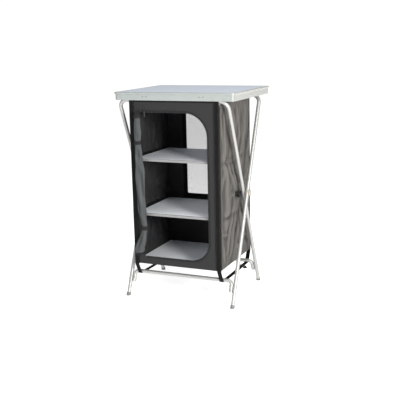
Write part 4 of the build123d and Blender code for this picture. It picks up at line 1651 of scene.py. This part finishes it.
@dataclass
class Shelves:
    """The base board and the two shelves with their edge profiles."""

    def dress(self) -> None:
        """Finishes the boards."""
        # The boards take the paler painted-light tone.
        dress(PALETTE.shelf_board, "base_board", "lower_shelf", "upper_shelf")
        dress(PALETTE.edge_profile, "lower_shelf_trim", "upper_shelf_trim")


@dataclass
class Sling:
    """One long webbing strap: sewn up both corners, and slung under the two crossbars."""

    layout: Layout
    side: Side
    leaves: float = 175.0
    overlap: float = 92.0
    top: float = 1000.0
    buckle_y: float = 105.0
    buckle_half: float = 24.0
    run_width: float = 25.0
    seam: float = 9.8
    tail: float = 37.0

    @property
    def wrap(self) -> float:
        """How far the middle of the webbing runs from the middle of a crossbar."""
        return self.layout.tube_radius + 1.1

    def path(self) -> np.ndarray:
        """The loop under the bars, from behind the front corner run to behind the rear one.

        Returns:
            Points as distance from the pivot line and height, n by 2.
        """
        plan = self.layout
        reach, wrap = plan.panel_y + 0.9, self.wrap
        away, above = reach - plan.bar_y, self.leaves - plan.bar_z
        touch = math.atan2(above, away) - math.acos(wrap / math.hypot(away, above))
        half = [(reach, z) for z in np.linspace(self.leaves + self.overlap, self.leaves + 6, 10)]
        half += [(reach, self.leaves), (reach - 0.6, self.leaves - 6)]
        half += [(plan.bar_y + wrap * math.cos(a), plan.bar_z + wrap * math.sin(a))
                 for a in np.linspace(touch, -math.pi / 2, 14)]
        rear, bottom = np.array(half), plan.bar_z - wrap
        run = np.linspace(-plan.bar_y, plan.bar_y, 34)[1:-1]
        sag = 2.2 * np.sin(math.pi * (run + plan.bar_y) / (2 * plan.bar_y)) ** 2
        level = bottom - np.where(abs(run - self.buckle_y) < self.buckle_half, 0, sag)
        return np.concatenate([rear * (-1, 1), points_at(run, level), rear[::-1]])

    def build(self) -> None:
        """Makes the sewn runs, the loop under the bars and the loose end, and dresses the buckle."""
        plan, s, word = self.layout, self.side.value, self.side.word
        z = np.linspace(self.leaves, self.top, 120)
        for end, body, place in ((-1, "front_cloth", "front"), (1, "back_cloth", "rear")):
            lift = np.maximum(0.25 * ripple(71 + s + end, z / 130), 0)
            x = s * (plan.half_body - self.run_width / 2) + 0.4 * ripple(75 + s + end, z / 260)
            line = points_at(x, plan.pivot_y + end * (plan.panel_y + 2.6 + lift), z)
            skin = Skin()
            skin.strip(line, X_AXIS, self.run_width, plan.fabric)
            for shift in (-self.seam, self.seam):
                skin.stitches(line + (shift, end * 0.75, 0), end * Y_AXIS, 1)
            piece = skin.build(f"{word}_{place}_strap_run", [PALETTE.webbing, PALETTE.pale_thread])
            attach(piece, body)
        loop, skin = self.path(), Skin()
        line = points_at(s * plan.strap_x, plan.pivot_y + loop[:, 0], loop[:, 1])
        skin.strip(line, X_AXIS, plan.webbing, plan.fabric)
        piece = skin.build(word + "_sling_webbing", [PALETTE.webbing])
        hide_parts(word + "_strap")
        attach(piece, word + "_sling")
        plan.crumple(piece, inside=False)
        self.build_tail()
        dress(PALETTE.black_plastic, word + "_buckle")

    def build_tail(self) -> None:
        """The loose end of the webbing behind the buckle, with a folded hem."""
        plan, s, word = self.layout, self.side.value, self.side.word
        share = np.linspace(0, 1, 22)
        x = s * plan.strap_x + 1.5 * np.sin(share * 2)
        y = plan.pivot_y + self.buckle_y + 13 + self.tail * share
        z = plan.bar_z - self.wrap - 3.0 - 4 * share - 20 * share ** 2
        line, tilt, skin = points_at(x, y, z), 0.22 * share, Skin()
        skin.strip(line, points_at(np.cos(tilt), 0, np.sin(tilt)), plan.webbing, plan.fabric)
        hem = line[-6:] + (0, 0.6, -plan.fabric * 0.9)
        skin.strip(hem, X_AXIS + 0.2 * Z_AXIS, plan.webbing, plan.fabric * 0.8)
        piece = skin.build(word + "_strap_end", [PALETTE.webbing])
        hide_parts(word + "_strap_tail")
        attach(piece, word + "_buckle_set")


@dataclass(frozen=True)
class Lamp:
    """A soft square light: its name, place and width in metres, power in watts and colour."""

    name: str
    place: tuple[float, float, float]
    size: float
    power: float
    colour: Colour


@dataclass
class Studio:
    """The pale floor, the soft lights and the camera at the photograph's angle."""

    lamps: tuple[Lamp, ...] = (
        Lamp("key", (3.0, -2.4, 1.6), 0.9, 178.0, (1.0, 0.985, 0.96)),
        Lamp("fill", (-1.6, -4.2, 1.5), 2.4, 36.0, (0.95, 0.975, 1.0)),
        Lamp("top", (0.5, -0.5, 3.6), 1.6, 58.0, (0.97, 0.985, 1.0)),
    )
    place: tuple[float, float, float] = (1.52286, -3.47114, 1.29078)
    right: tuple[float, float, float] = (0.919739, 0.391977, -0.020849)
    up: tuple[float, float, float] = (-0.06462, 0.203586, 0.976922)
    lens: float = 67.083
    sensor: float = 36.0
    sky_shown: float = 1.05
    sky_light: float = 0.34

    def build(self) -> None:
        """Sets the whole studio."""
        self.build_floor()
        for lamp in self.lamps:
            self.build_light(lamp)
        self.build_sky()
        self.build_camera()

    def build_sky(self) -> None:
        """A white backdrop that lights the cupboard less than it shows."""
        world = bpy.data.worlds.new("studio")
        world.use_nodes = True
        sky = Nodes(world.node_tree)
        lights, shows = (
            sky.add("ShaderNodeBackground", sockets={"Color": (1.0, 1.0, 1.0), "Strength": strength})
            for strength in (self.sky_light, self.sky_shown))
        seen = sky.add("ShaderNodeLightPath", output="Is Camera Ray")
        mixed = sky.add("ShaderNodeMixShader", sockets={0: seen, 1: lights, 2: shows})
        sky.add("ShaderNodeOutputWorld", sockets={"Surface": mixed})
        scene = bpy.context.scene
        scene.world = world
        scene.view_settings.view_transform = "Standard"

    def build_floor(self) -> None:
        """A large floor in level squares."""
        skin, edge = Skin(), np.linspace(-9000, 9000, 13)
        grid = points_at(edge[None, :], edge[:, None], 0.0)
        skin.lattice(skin.put(grid, grid[:, :, :2]), len(edge), len(edge), 0)
        skin.build("studio_floor", [PALETTE.floor])

    def build_light(self, lamp: Lamp) -> None:
        """Hangs one light, so that it looks at the cupboard.

        Args:
            lamp: The light.
        """
        light = bpy.data.lights.new(lamp.name, "AREA")
        light.shape, light.size, light.energy, light.color = "SQUARE", lamp.size, lamp.power, lamp.colour
        holder = bpy.data.objects.new(lamp.name, light)
        holder.location = lamp.place
        holder.rotation_euler = (Vector((0, 0, 0.5)) - Vector(lamp.place)).to_track_quat("-Z", "Y").to_euler()
        bpy.context.scene.collection.objects.link(holder)

    def build_camera(self) -> None:
        """The camera, placed by its own axes."""
        data = bpy.data.cameras.new("camera")
        data.lens, data.sensor_width = self.lens, self.sensor
        camera = bpy.data.objects.new("camera", data)
        right = Vector(self.right).normalized()
        back = right.cross(Vector(self.up)).normalized()
        axes = Matrix((right, back.cross(right), back)).transposed().to_4x4()
        camera.matrix_world = Matrix.Translation(self.place) @ axes
        bpy.context.scene.collection.objects.link(camera)
        bpy.context.scene.camera = camera


def main() -> None:
    """Builds and dresses every sub-assembly in order."""
    layout = Layout()
    Tabletop().dress()
    TubeFrames().dress()
    pivots = Pivots(layout)
    pivots.dress()
    pivots.build()
    Sleeves(layout).build()
    FrontPanel(layout).build()
    DoorRoll(layout).build()
    BackPanel(layout).build()
    for side in Side:
        SidePanel(layout, side).build()
        Sling(layout, side).build()
    FloorPanel(layout).build()
    Shelves().dress()
    Studio().build()
    bpy.context.view_layer.update()


if __name__ == "__main__":
    main()
